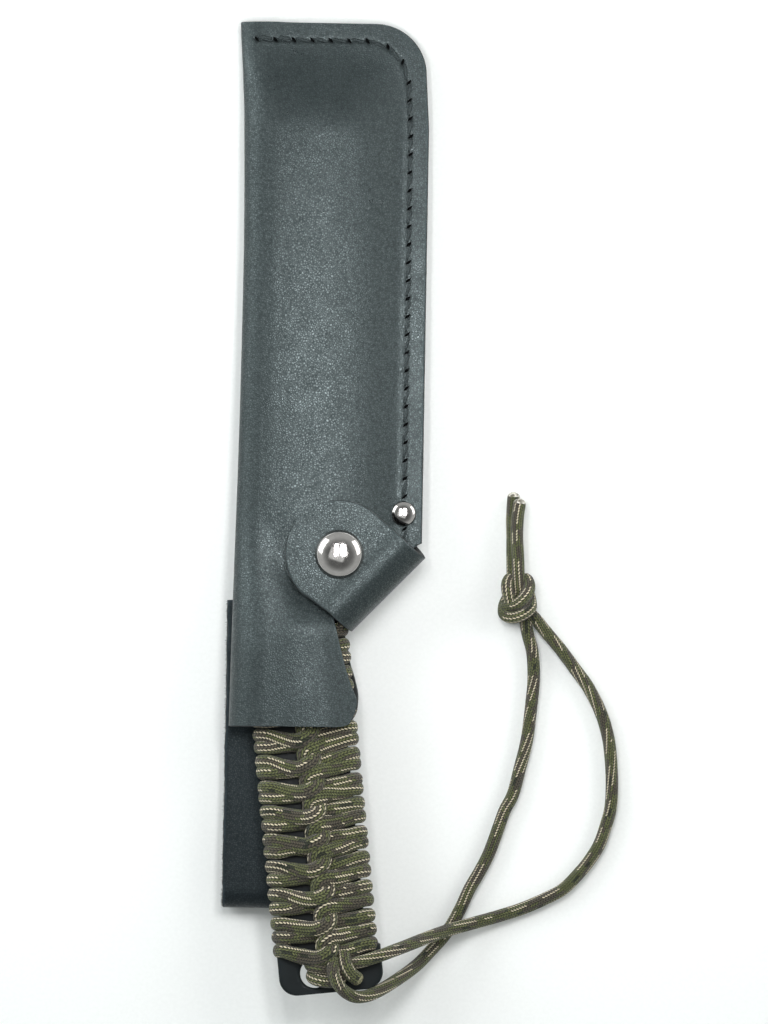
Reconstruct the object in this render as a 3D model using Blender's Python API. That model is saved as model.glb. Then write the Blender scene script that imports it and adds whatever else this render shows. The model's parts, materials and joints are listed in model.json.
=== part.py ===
"""A hori hori knife in its folded leather sheath, lying on a table.

The sheath frame has X across the sheath, Y towards its tip and Z up through its front.
Z = 0 is the outer face of the back panel. The whole assembly hangs from one empty that is
tilted a little, because the doubled belt loop lifts the mouth end off the table.
The knife slides along -Y and the retaining strap turns about its fold.
"""

import math

import bmesh
import bpy
from mathutils import Matrix, Vector

# Leather and steel
LEATHER = 0.0022
LOOP_LEATHER = 0.0020
WELT = 0.0024
STEEL = 0.0032
GAP = 0.0003
CORD_RADIUS = 0.0020

# Lie of the object on the table
REST_TILT = math.radians(2.17)
TIP_Y = 0.1552
MOUTH_Y = -0.0685

# Sheath: fold on the left, seam on the right and round the tip
FOLD_EDGE = [(-0.0685, -0.0309), (-0.0285, -0.0303), (0.035, -0.0292), (0.080, -0.0289),
             (0.124, -0.0295), (0.1552, -0.0312)]
SEAM_X = 0.0290
SEAM_TAPER_Y = 0.122
SEAM_TAPER = 0.06
TIP_CORNER = 0.015
SEAM_HEIGHT = 2 * LEATHER + WELT + 2 * GAP
FOLD_BLEND = 0.008
APRON_EDGE = [(-0.0663, 0.0078), (-0.063, 0.0092), (-0.0586, 0.0096), (-0.0532, 0.0085),
              (-0.0459, 0.0062)]
BACK_EDGE = [(-0.0663, 0.0078), (-0.063, 0.0094), (-0.0586, 0.0099), (-0.048, 0.0092),
             (-0.0384, 0.0072)]
MOUTH_CORNER_X = 0.0030

# Height of the front panel's outer face, over the blade and over the wrapped handle
OVER_BLADE = [(-0.0210, 0.0114), (-0.0120, 0.0121), (-0.0038, 0.0122), (0.0050, 0.0117),
              (0.0120, 0.0106), (0.0165, 0.0088), (0.0191, SEAM_HEIGHT), (0.0300, SEAM_HEIGHT)]
OVER_HANDLE = [(-0.0145, 0.0162), (-0.0080, 0.0168), (0.0, 0.0175), (0.0070, 0.0171),
               (0.0115, 0.0161), (0.0145, 0.0152), (0.0190, 0.0140)]
FOLD_CREST = [(-0.0685, 0.0162), (-0.039, 0.0162), (-0.022, 0.0128), (0.0, 0.0114),
              (0.128, 0.0112), (0.148, SEAM_HEIGHT), (0.1552, SEAM_HEIGHT)]
HANDLE_RISE = (-0.0235, -0.0395)
TIP_FALL = (0.130, 0.148)

# Knife
BLADE_CENTRE = -0.0038
BLADE_HALF = 0.0210
BLADE_TIP_Y = 0.1380
BLADE_TAPER_Y = 0.075
BLADE_FULLNESS = 2.2
BLADE_DROOP, DROOP_FROM_Y = 0.0016, 0.100
SHOULDER_U = 0.0056
ARCH_EDGE_Z = 0.0042
ARCH_CROWN_Z = 0.0074
BEVEL_WIDTH = 0.0040
EDGE_THICKNESS = 0.0008
GRIND_ENDS = (-0.024, -0.034)
TEETH_FROM, TEETH_TO = 0.004, 0.094
TOOTH_PITCH = 0.0050
TOOTH_DEPTH = 0.0014
TANG_Z = 0.0080
TANG_HALF = 0.0130
TANG_FLATTENS = (-0.022, -0.037)
HANDLE_POINT = (-0.00665, -0.0696)
HANDLE_CANT = math.radians(6.4)
BUTT_HALF = 0.0164
BUTT_CENTRE = 0.0009
BUTT_FROM, BUTT_END = 0.0690, 0.0832
BUTT_CORNER = 0.0055
HOLE_S, HOLE_T, HOLE_RADIUS = 0.0767, -0.0042, 0.0046

# Cord wrap on the tang
WRAP_FROM, WRAP_TURNS, TURN_PITCH = -0.0290, 11, 0.0086
WRAP_HALF = 0.0170
WRAP_HALF_THICKNESS = 0.0052
RIDGE = 0.0011
LOCK_RISE = 0.0018
LOCK_T, LOCK_HALF = 0.0015, 0.0075
WRAP_SQUARENESS = 0.55
WRAP_END_DROP = 0.0010

# Retaining strap, laid out from its fold: u runs in from the fold, f runs along it
STRAP_POINT = (0.0190, -0.02625)
STRAP_TURN = math.radians(135.9)
STRAP_HALF = 0.01635
BEND_RADIUS = 0.0090
FLAP_Z = 0.0148
FLAP_DROP_U = 0.0135
SNAP_U, SNAP_F = 0.0199, 0.0021
FLAP_END_RADIUS = 0.0169
STRAP_SKEW = 0.0009
BACK_CUT_U = BEND_RADIUS + GAP
FRONT_CUT_U = 0.0048
HINGE_U = -0.0015
CUT_STEP = 0.0006
CUT_REACH = 0.0176
FRONT_CUT_SKEW = 0.0022
BACK_CUT_ENDS = (-0.0178, 0.0160)
FLAP_SLOPE = math.radians(12)

# Belt loop behind the sheath
LOOP_LEFT, LOOP_RIGHT = -0.0319, 0.0045
LOOP_TOP_Y, LOOP_END_Y = -0.0287, -0.1262
LOOP_JOIN_Y, LOOP_DROP_Y = -0.046, -0.062
LOOP_RIVETS = {"left": -0.0185, "right": -0.0020}
LOOP_RIVET_Y = -0.0345

# Fasteners
SEAM_RIVET = (0.0233, -0.0004)
RIVET_CAP_RADIUS, RIVET_STEM_RADIUS = 0.0040, 0.0014
SNAP_CAP_RADIUS, SNAP_STEM_RADIUS = 0.00775, 0.0018
STITCH_PITCH = 0.00585
STITCH_RADIUS = 0.00045
STITCH_INSET = 0.0055
STITCH_CORNER = 0.0130
STITCH_SLANT = 0.0005
STITCH_START_X, STITCH_END_Y = -0.0259, 0.0050
LAST_STITCHES = (-0.0052, -0.0070, -0.0090)
LAST_STITCH_SHIFT = 0.0002
WELT_WIDTH, WELT_INSET = 0.0086, 0.0006
WELT_START_X, WELT_END_Y = -0.0265, -0.0045
RIVET_DISC = 0.0009
SEAM_RIVET_RISE, LOOP_RIVET_RISE = 0.0019, 0.0012
SNAP_RIM, SNAP_RISE = 0.0005, 0.0030
SNAP_FLANGE = 0.0004
SOCKET_BORE, SOCKET_FOOT, SOCKET_RIM = 0.0036, 0.0058, 0.0062
SOCKET_DEPTH = 0.0015
STUD_FLANGE, STUD_RADIUS = 0.0052, 0.0031
STUD_CLEAR, STUD_BELOW_FLAP = 0.0006, 0.0007
SNAP_POST_HEAD, SNAP_POST_DROP = 0.0036, 0.0008

# Heights between which each hole is drilled
THROUGH_SEAM = (-0.002, 0.012)
THROUGH_WELT = (0.001, 0.007)
THROUGH_BACK = (-0.002, 0.005)
THROUGH_FRONT = (0.007, 0.016)
THROUGH_FLAP = (0.012, 0.020)
THROUGH_LOOP = (-0.009, 0.002)
THROUGH_TANG = (0.004, 0.012)

# Wrist lanyard: x, y in the sheath's plane and the height of the cord's middle off the table
STRAND_UPPER = [
    (0.0103, -0.1428, 0.0233), (0.0135, -0.1419, 0.0234), (0.0193, -0.1399, 0.0228),
    (0.0264, -0.1372, 0.0188), (0.0335, -0.1344, 0.0130), (0.0404, -0.1320, 0.0082),
    (0.0474, -0.1300, 0.0050), (0.0556, -0.1276, 0.0031), (0.0631, -0.1251, 0.0025),
    (0.0701, -0.1220, 0.0025), (0.0761, -0.1187, 0.0025), (0.0806, -0.1142, 0.0025),
    (0.0845, -0.1093, 0.0025), (0.0875, -0.1042, 0.0025), (0.0897, -0.0975, 0.0025),
    (0.0909, -0.0924, 0.0025), (0.0912, -0.0860, 0.0025), (0.0908, -0.0778, 0.0025),
    (0.0897, -0.0699, 0.0025), (0.0873, -0.0623, 0.0025), (0.0832, -0.0544, 0.0025),
    (0.0786, -0.0482, 0.0025), (0.0740, -0.0422, 0.0025), (0.0692, -0.0367, 0.0029),
    (0.0659, -0.0328, 0.0035),
]
STRAND_LOWER = [
    (0.0034, -0.1444, 0.0233), (0.0046, -0.1482, 0.0234), (0.0067, -0.1516, 0.0234),
    (0.0092, -0.1541, 0.0232), (0.0125, -0.1553, 0.0226), (0.0187, -0.1532, 0.0198),
    (0.0245, -0.1486, 0.0132), (0.0301, -0.1434, 0.0074), (0.0345, -0.1388, 0.0040),
    (0.0385, -0.1343, 0.0026), (0.0415, -0.1295, 0.0025), (0.0438, -0.1250, 0.0025),
    (0.0465, -0.1189, 0.0025), (0.0495, -0.1136, 0.0025), (0.0524, -0.1077, 0.0025),
    (0.0551, -0.1000, 0.0025), (0.0572, -0.0939, 0.0025), (0.0597, -0.0888, 0.0025),
    (0.0617, -0.0808, 0.0025), (0.0638, -0.0716, 0.0025), (0.0649, -0.0621, 0.0025),
    (0.0657, -0.0522, 0.0025), (0.0652, -0.0438, 0.0026), (0.0638, -0.0385, 0.0029),
    (0.0632, -0.0359, 0.0031),
]
TAIL_LEFT = [
    (0.0580, -0.0172, 0.0034), (0.0577, -0.0130, 0.0027), (0.0573, -0.0070, 0.0025),
    (0.0571, -0.0010, 0.0025), (0.0573, 0.0058, 0.0025),
]
TAIL_RIGHT = [
    (0.0598, -0.0168, 0.0078), (0.0594, -0.0130, 0.0073), (0.0588, -0.0070, 0.0069),
    (0.0585, -0.0010, 0.0068), (0.0587, 0.0052, 0.0068),
]
KNOT_CENTRE = (0.0602, -0.0270, 0.0049)
KNOT_HALF = (0.0063, 0.0092, 0.0044)
HITCH = [
    (0.0012, -0.1468, 0.0159), (-0.0014, -0.1467, 0.0162), (-0.0030, -0.1465, 0.0178),
    (-0.0035, -0.1463, 0.0200), (-0.0030, -0.1465, 0.0222), (-0.0012, -0.1471, 0.0233),
]
WRAP_END = [(0.0089, -0.1468, 0.0233), (0.0104, -0.1477, 0.0234), (0.0120, -0.1485, 0.0233)]


def smooth_value(table, x):
    """A smooth curve through the (x, value) rows of a table, level at a flat stretch."""
    if x <= table[0][0]:
        return table[0][1]
    if x >= table[-1][0]:
        return table[-1][1]
    i = max(k for k in range(len(table) - 1) if table[k][0] <= x)
    rise = [(b[1] - a[1]) / (b[0] - a[0]) for a, b in zip(table, table[1:])]

    def slope(k):
        if k == 0:
            return rise[0]
        if k == len(table) - 1:
            return rise[-1]
        before, after = rise[k - 1], rise[k]
        return 0.0 if before * after <= 0 else 2 * before * after / (before + after)

    (x0, y0), (x1, y1) = table[i], table[i + 1]
    step = x1 - x0
    t = (x - x0) / step
    return (
        y0 * (1 + 2 * t) * (1 - t) ** 2
        + slope(i) * step * t * (1 - t) ** 2
        + y1 * t * t * (3 - 2 * t)
        - slope(i + 1) * step * t * t * (1 - t)
    )


def ease(start, end, x):
    t = min(1.0, max(0.0, (x - start) / (end - start)))
    return t * t * (3 - 2 * t)


def spread(a, b, count):
    return [a + (b - a) * i / (count - 1) for i in range(count)]


def smooth_route(points, per_span):
    """Points along the curve that runs smoothly through a cord's route."""
    rows = [Vector(p) for p in points]
    rows = [2 * rows[0] - rows[1], *rows, 2 * rows[-1] - rows[-2]]
    route = []
    for a, b, c, d in zip(rows, rows[1:], rows[2:], rows[3:]):
        for k in range(per_span):
            t = k / per_span
            bend = (2 * a - 5 * b + 4 * c - d) * t * t + (3 * b - a - 3 * c + d) * t**3
            route.append(b + ((c - a) * t + bend) / 2)
    return [*route, rows[-2]]


# Materials: colour, roughness, metallic
FINISHES = {
    "leather": ((0.038, 0.044, 0.047), 0.55, 0.0),
    "leather_inside": ((0.060, 0.062, 0.062), 0.80, 0.0),
    "thread": ((0.012, 0.012, 0.014), 0.60, 0.0),
    "coated_steel": ((0.022, 0.028, 0.030), 0.45, 0.6),
    "nickel": ((0.55, 0.54, 0.53), 0.18, 1.0),
    "paracord": ((0.105, 0.110, 0.052), 0.85, 0.0),
    "paracord_lanyard": ((0.120, 0.105, 0.070), 0.85, 0.0),
}


def finish(name, part_name):
    """A material of its own for each part, in one of the object's finishes."""
    colour, roughness, metallic = FINISHES[name]
    material = bpy.data.materials.new(part_name)
    material.use_nodes = True
    shader = material.node_tree.nodes["Principled BSDF"]
    shader.inputs["Base Color"].default_value = (*colour, 1.0)
    shader.inputs["Roughness"].default_value = roughness
    shader.inputs["Metallic"].default_value = metallic
    material.diffuse_color = (*colour, 1.0)
    return material


def empty(name, parent, location=(0, 0, 0), rotation=(0, 0, 0)):
    made = bpy.data.objects.new(name, None)
    bpy.context.scene.collection.objects.link(made)
    made.location = location
    made.rotation_euler = rotation
    made.parent = parent
    return made


def place(obj, parent, finish_name):
    """Hangs a part built in the sheath frame from an empty that only has a location there."""
    bpy.context.scene.collection.objects.link(obj)
    obj.data.materials.append(finish(finish_name, obj.name))
    obj.parent = parent
    if parent.parent:
        obj.location = -parent.location
    return obj


def solid(name, verts, faces, parent, finish_name, sharp=40):
    mesh = bpy.data.meshes.new(name)
    mesh.from_pydata([tuple(v) for v in verts], [], faces)
    work = bmesh.new()
    work.from_mesh(mesh)
    bmesh.ops.recalc_face_normals(work, faces=work.faces)
    work.to_mesh(mesh)
    work.free()
    mesh.shade_smooth()
    mesh.set_sharp_from_angle(angle=math.radians(sharp))
    return place(bpy.data.objects.new(name, mesh), parent, finish_name)


def slab(name, top, bottom, parent, finish_name, sharp=40):
    """The closed body between two grids of points that match row by row."""
    rows, columns = len(top), len(top[0])
    verts = [p for row in top for p in row] + [p for row in bottom for p in row]
    half = rows * columns
    faces = []
    for j in range(rows - 1):
        for i in range(columns - 1):
            a = j * columns + i
            quad = (a, a + 1, a + columns + 1, a + columns)
            faces += [quad, tuple(half + v for v in reversed(quad))]
    rim = [j * columns for j in range(rows)]
    rim += [(rows - 1) * columns + i for i in range(1, columns)]
    rim += [j * columns + columns - 1 for j in range(rows - 2, -1, -1)]
    rim += list(range(columns - 2, 0, -1))
    for a, b in zip(rim, rim[1:] + rim[:1]):
        faces.append((a, b, half + b, half + a))
    return solid(name, verts, faces, parent, finish_name, sharp)


def turned(name, profile, centre, parent, finish_name, sides=24):
    """A body turned about Z from (radius, height) points; radius 0 closes it on the axis."""
    verts, rings = [], []
    for radius, height in profile:
        count = 1 if radius == 0 else sides
        rings.append(list(range(len(verts), len(verts) + count)))
        for k in range(count):
            angle = 2 * math.pi * k / sides
            verts.append((centre[0] + radius * math.cos(angle),
                          centre[1] + radius * math.sin(angle), height))
    faces = []
    for low, high in zip(rings, rings[1:] + (rings[:1] if profile[0][0] else [])):
        for k in range(sides):
            n = (k + 1) % sides
            ring = [low[k % len(low)], low[n % len(low)], high[n % len(high)], high[k % len(high)]]
            corners = list(dict.fromkeys(ring))
            if len(corners) > 2:
                faces.append(corners)
    return solid(name, verts, faces, parent, finish_name)


def dome(radius, foot, rise, steps=5):
    """Profile points of a low dome, from its rim up to its crown."""
    points = []
    for k in range(steps + 1):
        angle = math.pi / 2 * k / steps
        points.append((radius * math.cos(angle) if k < steps else 0, foot + rise * math.sin(angle)))
    return points


def tube(name, points, radius, resolution, parent, finish_name):
    curve = bpy.data.curves.new(name, "CURVE")
    curve.dimensions = "3D"
    curve.bevel_depth = radius
    curve.bevel_resolution = resolution
    curve.use_fill_caps = True
    spline = curve.splines.new("POLY")
    spline.points.add(len(points) - 1)
    for row, point in zip(spline.points, points):
        row.co = (*point, 1.0)
    return place(bpy.data.objects.new(name, curve), parent, finish_name)


def cut(part, cutter_mesh_points, name):
    """Takes a convex cutter out of a part."""
    mesh = bpy.data.meshes.new(name)
    work = bmesh.new()
    for point in cutter_mesh_points:
        work.verts.new(point)
    bmesh.ops.convex_hull(work, input=work.verts)
    bmesh.ops.recalc_face_normals(work, faces=work.faces)
    work.to_mesh(mesh)
    work.free()
    cutter = bpy.data.objects.new(name, mesh)
    bpy.context.scene.collection.objects.link(cutter)
    cutter.parent = part
    cutter.hide_render = True
    cutter.display_type = "WIRE"
    modifier = part.modifiers.new(name, "BOOLEAN")
    modifier.operation = "DIFFERENCE"
    modifier.object = cutter


def drill(part, centre, radius, z_range, sides=16):
    points = []
    for z in z_range:
        for k in range(sides):
            angle = 2 * math.pi * (k + 0.5) / sides
            points.append((centre[0] + radius * math.cos(angle),
                           centre[1] + radius * math.sin(angle), z))
    cut(part, points, f"{part.name}_drill_{len(part.modifiers)}")


def strap_point(u, f):
    """A place on the strap, in the sheath's plane."""
    x, y = STRAP_POINT
    across = (math.cos(STRAP_TURN), math.sin(STRAP_TURN))
    return (x + u * across[0] - f * across[1], y + u * across[1] + f * across[0])


def handle_point(s, t):
    """A place on the handle: s runs down it from the sheath's mouth, t across to the right."""
    along = (math.sin(HANDLE_CANT), -math.cos(HANDLE_CANT))
    across = (math.cos(HANDLE_CANT), math.sin(HANDLE_CANT))
    return (HANDLE_POINT[0] + s * along[0] + t * across[0],
            HANDLE_POINT[1] + s * along[1] + t * across[1])


def handle_offset(x, y):
    dx, dy = x - HANDLE_POINT[0], y - HANDLE_POINT[1]
    return dx * math.cos(HANDLE_CANT) + dy * math.sin(HANDLE_CANT)


def seam_edge(y):
    """The sheath's right edge, with its round corner at the tip."""
    straight = SEAM_X - SEAM_TAPER * max(0.0, y - SEAM_TAPER_Y)
    into_corner = max(0.0, y - (TIP_Y - TIP_CORNER))
    return straight - TIP_CORNER + math.sqrt(max(0.0, TIP_CORNER**2 - into_corner**2))


def line_x(a, b, y):
    return a[0] + (b[0] - a[0]) * (y - a[1]) / (b[1] - a[1])


FRONT_CUT = (strap_point(FRONT_CUT_U, -CUT_REACH),
             strap_point(FRONT_CUT_U + FRONT_CUT_SKEW, CUT_REACH))
BACK_CUT = tuple(strap_point(BACK_CUT_U, f) for f in BACK_CUT_ENDS)


def panel_edge(y, cut, apron):
    """Right edge of a panel: the seam, a slanted cut at the strap, then the apron."""
    start, end = cut
    foot = (apron[-1][1], apron[-1][0])
    if y > start[1] + CUT_STEP / 2:
        return seam_edge(y)
    if y > end[1]:
        return line_x(start, end, y)
    if y > foot[1]:
        return line_x(end, foot, y)
    return smooth_value(apron, y)


def mouth_corner(edge, y):
    """Rounds the lower right corner of a panel off towards the mouth."""
    low = APRON_EDGE[0][0]
    if y >= low:
        return edge
    t = (low - y) / (low - MOUTH_Y)
    return edge - (edge - MOUTH_CORNER_X) * (1 - math.sqrt(max(0.0, 1 - t * t)))


def front_height(x, y):
    over_blade = smooth_value(OVER_BLADE, x)
    over_blade += (SEAM_HEIGHT - over_blade) * ease(*TIP_FALL, y)
    over_handle = smooth_value(OVER_HANDLE, handle_offset(x, y))
    return over_blade + (over_handle - over_blade) * ease(*HANDLE_RISE, y)


def sheath_section(y):
    """Outer points of the folded leather across the sheath, from the back edge to the front."""
    left = smooth_value(FOLD_EDGE, y)
    crest = smooth_value(FOLD_CREST, y)
    radius = crest / 2
    back = mouth_corner(panel_edge(y, BACK_CUT, BACK_EDGE), y)
    front = mouth_corner(panel_edge(y, FRONT_CUT, APRON_EDGE), y)
    points = [(x, 0.0) for x in spread(back, left + radius, 5)]
    for k in range(1, 8):
        angle = math.pi * k / 8
        points.append((left + radius * (1 - math.sin(angle)), radius * (1 - math.cos(angle))))
    start = left + radius
    for x in spread(start, front, 12):
        near_fold = 1 - ease(start, start + FOLD_BLEND, x)
        height = front_height(x, y)
        points.append((x, height + (crest - height) * near_fold))
    return points


def inward(points, thickness):
    """The same section moved in by the leather's thickness."""
    moved = []
    for i, (x, z) in enumerate(points):
        before = points[max(i - 1, 0)]
        after = points[min(i + 1, len(points) - 1)]
        dx, dz = after[0] - before[0], after[1] - before[1]
        length = math.hypot(dx, dz)
        moved.append((x + thickness * dz / length, z - thickness * dx / length))
    return moved


def sheath_body(parent):
    rows = [MOUTH_Y, -0.0681, -0.0674, *[row[0] for row in APRON_EDGE], -0.0412,
            BACK_EDGE[-1][0], -0.0368, FRONT_CUT[1][1], BACK_CUT[1][1], -0.027, -0.0225, -0.018,
            -0.013, FRONT_CUT[0][1], FRONT_CUT[0][1] + CUT_STEP, BACK_CUT[0][1],
            BACK_CUT[0][1] + CUT_STEP, 0.0, 0.030, 0.060, 0.090, SEAM_TAPER_Y, 0.130, 0.135, 0.1402,
            0.1450, 0.1490, 0.1520, 0.1540, TIP_Y]
    top, bottom = [], []
    for y in sorted(rows):
        outer = sheath_section(y)
        inner = inward(outer, LEATHER)
        top.append([(x, y, z) for x, z in outer])
        bottom.append([(x, y, z) for x, z in inner])
    body = slab("sheath_body", top, bottom, parent, "leather")
    drill(body, SEAM_RIVET, RIVET_STEM_RADIUS + GAP, THROUGH_SEAM)
    for x in LOOP_RIVETS.values():
        drill(body, (x, LOOP_RIVET_Y), RIVET_STEM_RADIUS + GAP, THROUGH_BACK)
    drill(body, strap_point(SNAP_U, SNAP_F), SNAP_STEM_RADIUS + GAP, THROUGH_FRONT)
    return body


def seam_path(inset, corner, end_y, left_x, step):
    """Points along the seam, a fixed distance in from the edge, from the fold to end_y."""
    right = SEAM_X - inset
    top = TIP_Y - inset
    lean = SEAM_TAPER * (TIP_Y - corner - SEAM_TAPER_Y)
    centre = (right - corner - lean, top - corner)
    path = []
    count = max(2, round((centre[0] - left_x) / step))
    path += [(left_x + (centre[0] - left_x) * k / count, top) for k in range(count)]
    count = max(3, round(corner * math.pi / 2 / step))
    for k in range(count):
        angle = math.pi / 2 * (1 - k / count)
        path.append((centre[0] + corner * math.cos(angle), centre[1] + corner * math.sin(angle)))
    count = max(2, round((centre[1] - end_y) / step))
    for k in range(count + 1):
        y = centre[1] + (end_y - centre[1]) * k / count
        path.append((right - SEAM_TAPER * max(0.0, y - SEAM_TAPER_Y), y))
    return path


def sheath_welt(parent):
    outer = seam_path(WELT_INSET, TIP_CORNER, WELT_END_Y, WELT_START_X, 0.012)
    inner = []
    for i, (x, y) in enumerate(outer):
        before, after = outer[max(i - 1, 0)], outer[min(i + 1, len(outer) - 1)]
        dx, dy = after[0] - before[0], after[1] - before[1]
        length = math.hypot(dx, dy)
        inner.append((x + WELT_WIDTH * dy / length, y - WELT_WIDTH * dx / length))
    low, high = LEATHER + GAP, LEATHER + GAP + WELT
    top = [[(*a, high), (*b, high)] for a, b in zip(outer, inner)]
    bottom = [[(*a, low), (*b, low)] for a, b in zip(outer, inner)]
    welt = slab("sheath_welt", top, bottom, parent, "leather_inside")
    drill(welt, SEAM_RIVET, RIVET_STEM_RADIUS + GAP, THROUGH_WELT)
    return welt


def stitch_line(route):
    """A thread that slants across the seam at each stitch, as hand-sewn thread does."""
    points = []
    for k, (x, y) in enumerate(route):
        before, after = route[max(k - 1, 0)], route[min(k + 1, len(route) - 1)]
        dx, dy = after[0] - before[0], after[1] - before[1]
        length = math.hypot(dx, dy)
        side = STITCH_SLANT if k % 2 else -STITCH_SLANT
        z = SEAM_HEIGHT + GAP + STITCH_RADIUS
        points.append((x + side * dy / length, y - side * dx / length, z))
    return points


def seam_stitching(parent):
    route = seam_path(STITCH_INSET, STITCH_CORNER, STITCH_END_Y, STITCH_START_X, STITCH_PITCH / 2)
    tube("seam_stitching", stitch_line(route), STITCH_RADIUS, 1, parent, "thread")
    end = [(SEAM_X - STITCH_INSET + LAST_STITCH_SHIFT, y) for y in LAST_STITCHES]
    tube("seam_stitching_end", stitch_line(end), STITCH_RADIUS, 1, parent, "thread")


def rivet(names, centre, head_z, head_rise, post_foot, post_top, parent):
    """A two-part rivet: a cap on one face, and a disc with a post through from the other."""
    cap_name, post_name = names
    profile = [(0, head_z), (RIVET_CAP_RADIUS, head_z), *dome(RIVET_CAP_RADIUS, head_z, head_rise)[1:]]
    turned(cap_name, profile, centre, parent, "nickel", 20)
    disc = RIVET_DISC if post_top > post_foot else -RIVET_DISC
    rim = RIVET_CAP_RADIUS
    post = [(0, post_foot), (rim, post_foot), (rim, post_foot + disc),
            (RIVET_STEM_RADIUS, post_foot + disc), (RIVET_STEM_RADIUS, post_top), (0, post_top)]
    turned(post_name, post, centre, parent, "nickel", 20)


def strap_strip(stations, thickness):
    """Top and bottom grids of a strip of strap, from (u, z, slope angle, middle, half) rows."""
    top, bottom = [], []
    for u, z, angle, middle, half in stations:
        shift = (thickness / 2 * math.sin(angle), thickness / 2 * math.cos(angle))
        for grid, side in ((top, 1), (bottom, -1)):
            row = []
            for f in spread(middle - half, middle + half, 4):
                row.append((*strap_point(u - side * shift[0], f), z + side * shift[1]))
            grid.append(row)
    return top, bottom


def strap_bend(parent):
    middle_radius = BEND_RADIUS - LEATHER / 2
    stations = []
    for k in range(11):
        turn = math.pi * k / 10
        u = BEND_RADIUS - middle_radius * math.sin(turn)
        z = BEND_RADIUS - middle_radius * math.cos(turn)
        stations.append((u, z, math.pi - turn, -STRAP_SKEW * math.cos(turn), STRAP_HALF))
    return slab("strap_bend", *strap_strip(stations, LEATHER), parent, "leather")


def flap_middle(u):
    """Middle and half width of the flap at u, round at its end."""
    past = u - SNAP_U
    if past > 0:
        return SNAP_F, math.sqrt(FLAP_END_RADIUS**2 - past**2)
    t = (u - BEND_RADIUS) / (SNAP_U - BEND_RADIUS)
    return STRAP_SKEW + (SNAP_F - STRAP_SKEW) * t, STRAP_HALF + (FLAP_END_RADIUS - STRAP_HALF) * t


def strap_flap(parent):
    high = 2 * BEND_RADIUS - LEATHER / 2
    low = FLAP_Z + LEATHER / 2
    stations = [(BEND_RADIUS + GAP, high, 0.0, *flap_middle(BEND_RADIUS + GAP))]
    for share, lean in ((0.5, FLAP_SLOPE), (1.0, 0.0)):
        u = BEND_RADIUS + (FLAP_DROP_U - BEND_RADIUS) * share
        stations.append((u, high + (low - high) * share, lean, *flap_middle(u)))
    stations.append((SNAP_U, low, 0.0, *flap_middle(SNAP_U)))
    for angle in (15, 30, 45, 58, 70, 80):
        u = SNAP_U + FLAP_END_RADIUS * math.sin(math.radians(angle))
        stations.append((u, low, 0.0, *flap_middle(u)))
    flap = slab("strap_flap", *strap_strip(stations, LEATHER), parent, "leather")
    drill(flap, strap_point(SNAP_U, SNAP_F), SNAP_STEM_RADIUS + GAP, THROUGH_FLAP)
    return flap


def snap(sheath, strap):
    """The four pieces of the snap fastener, on one axis through flap and front panel."""
    centre = strap_point(SNAP_U, SNAP_F)
    flap_top = FLAP_Z + LEATHER
    foot = flap_top + GAP
    panel = front_height(*centre)
    stem = SNAP_STEM_RADIUS
    cap = [(0, FLAP_Z + GAP), (stem, FLAP_Z + GAP), (stem, foot), (SNAP_CAP_RADIUS, foot),
           (SNAP_CAP_RADIUS, foot + SNAP_RIM), *dome(SNAP_CAP_RADIUS, foot + SNAP_RIM, SNAP_RISE)[1:]]
    turned("snap_cap", cap, centre, strap, "nickel", 32)
    under_flap = FLAP_Z - GAP
    socket = [(SOCKET_BORE, under_flap), (SOCKET_BORE, FLAP_Z - SOCKET_DEPTH),
              (SOCKET_FOOT, FLAP_Z - SOCKET_DEPTH), (SOCKET_RIM, under_flap)]
    turned("snap_socket", socket, centre, strap, "nickel", 24)
    stud_foot, stud_top = panel + STUD_CLEAR, FLAP_Z - STUD_BELOW_FLAP
    stud = [(0, stud_foot), (STUD_FLANGE, stud_foot), (STUD_FLANGE, stud_foot + SNAP_FLANGE),
            (STUD_RADIUS, stud_foot + SNAP_FLANGE), (STUD_RADIUS, stud_top), (0, stud_top)]
    turned("snap_stud", stud, centre, sheath, "nickel", 24)
    head = panel - LEATHER - SNAP_POST_DROP
    neck = head + SNAP_FLANGE
    post = [(0, head), (SNAP_POST_HEAD, head), (SNAP_POST_HEAD, neck), (stem, neck),
            (stem, stud_foot - GAP), (0, stud_foot - GAP)]
    turned("snap_post", post, centre, sheath, "nickel", 24)


def table_z(y):
    """Height of the table in the sheath frame, below the tilted sheath."""
    return (y - TIP_Y) * math.tan(REST_TILT)


def on_table(x, y, height):
    """A point of the sheath frame from its place in plan and its height off the table."""
    return (x, y, table_z(y) + height / math.cos(REST_TILT))


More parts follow.
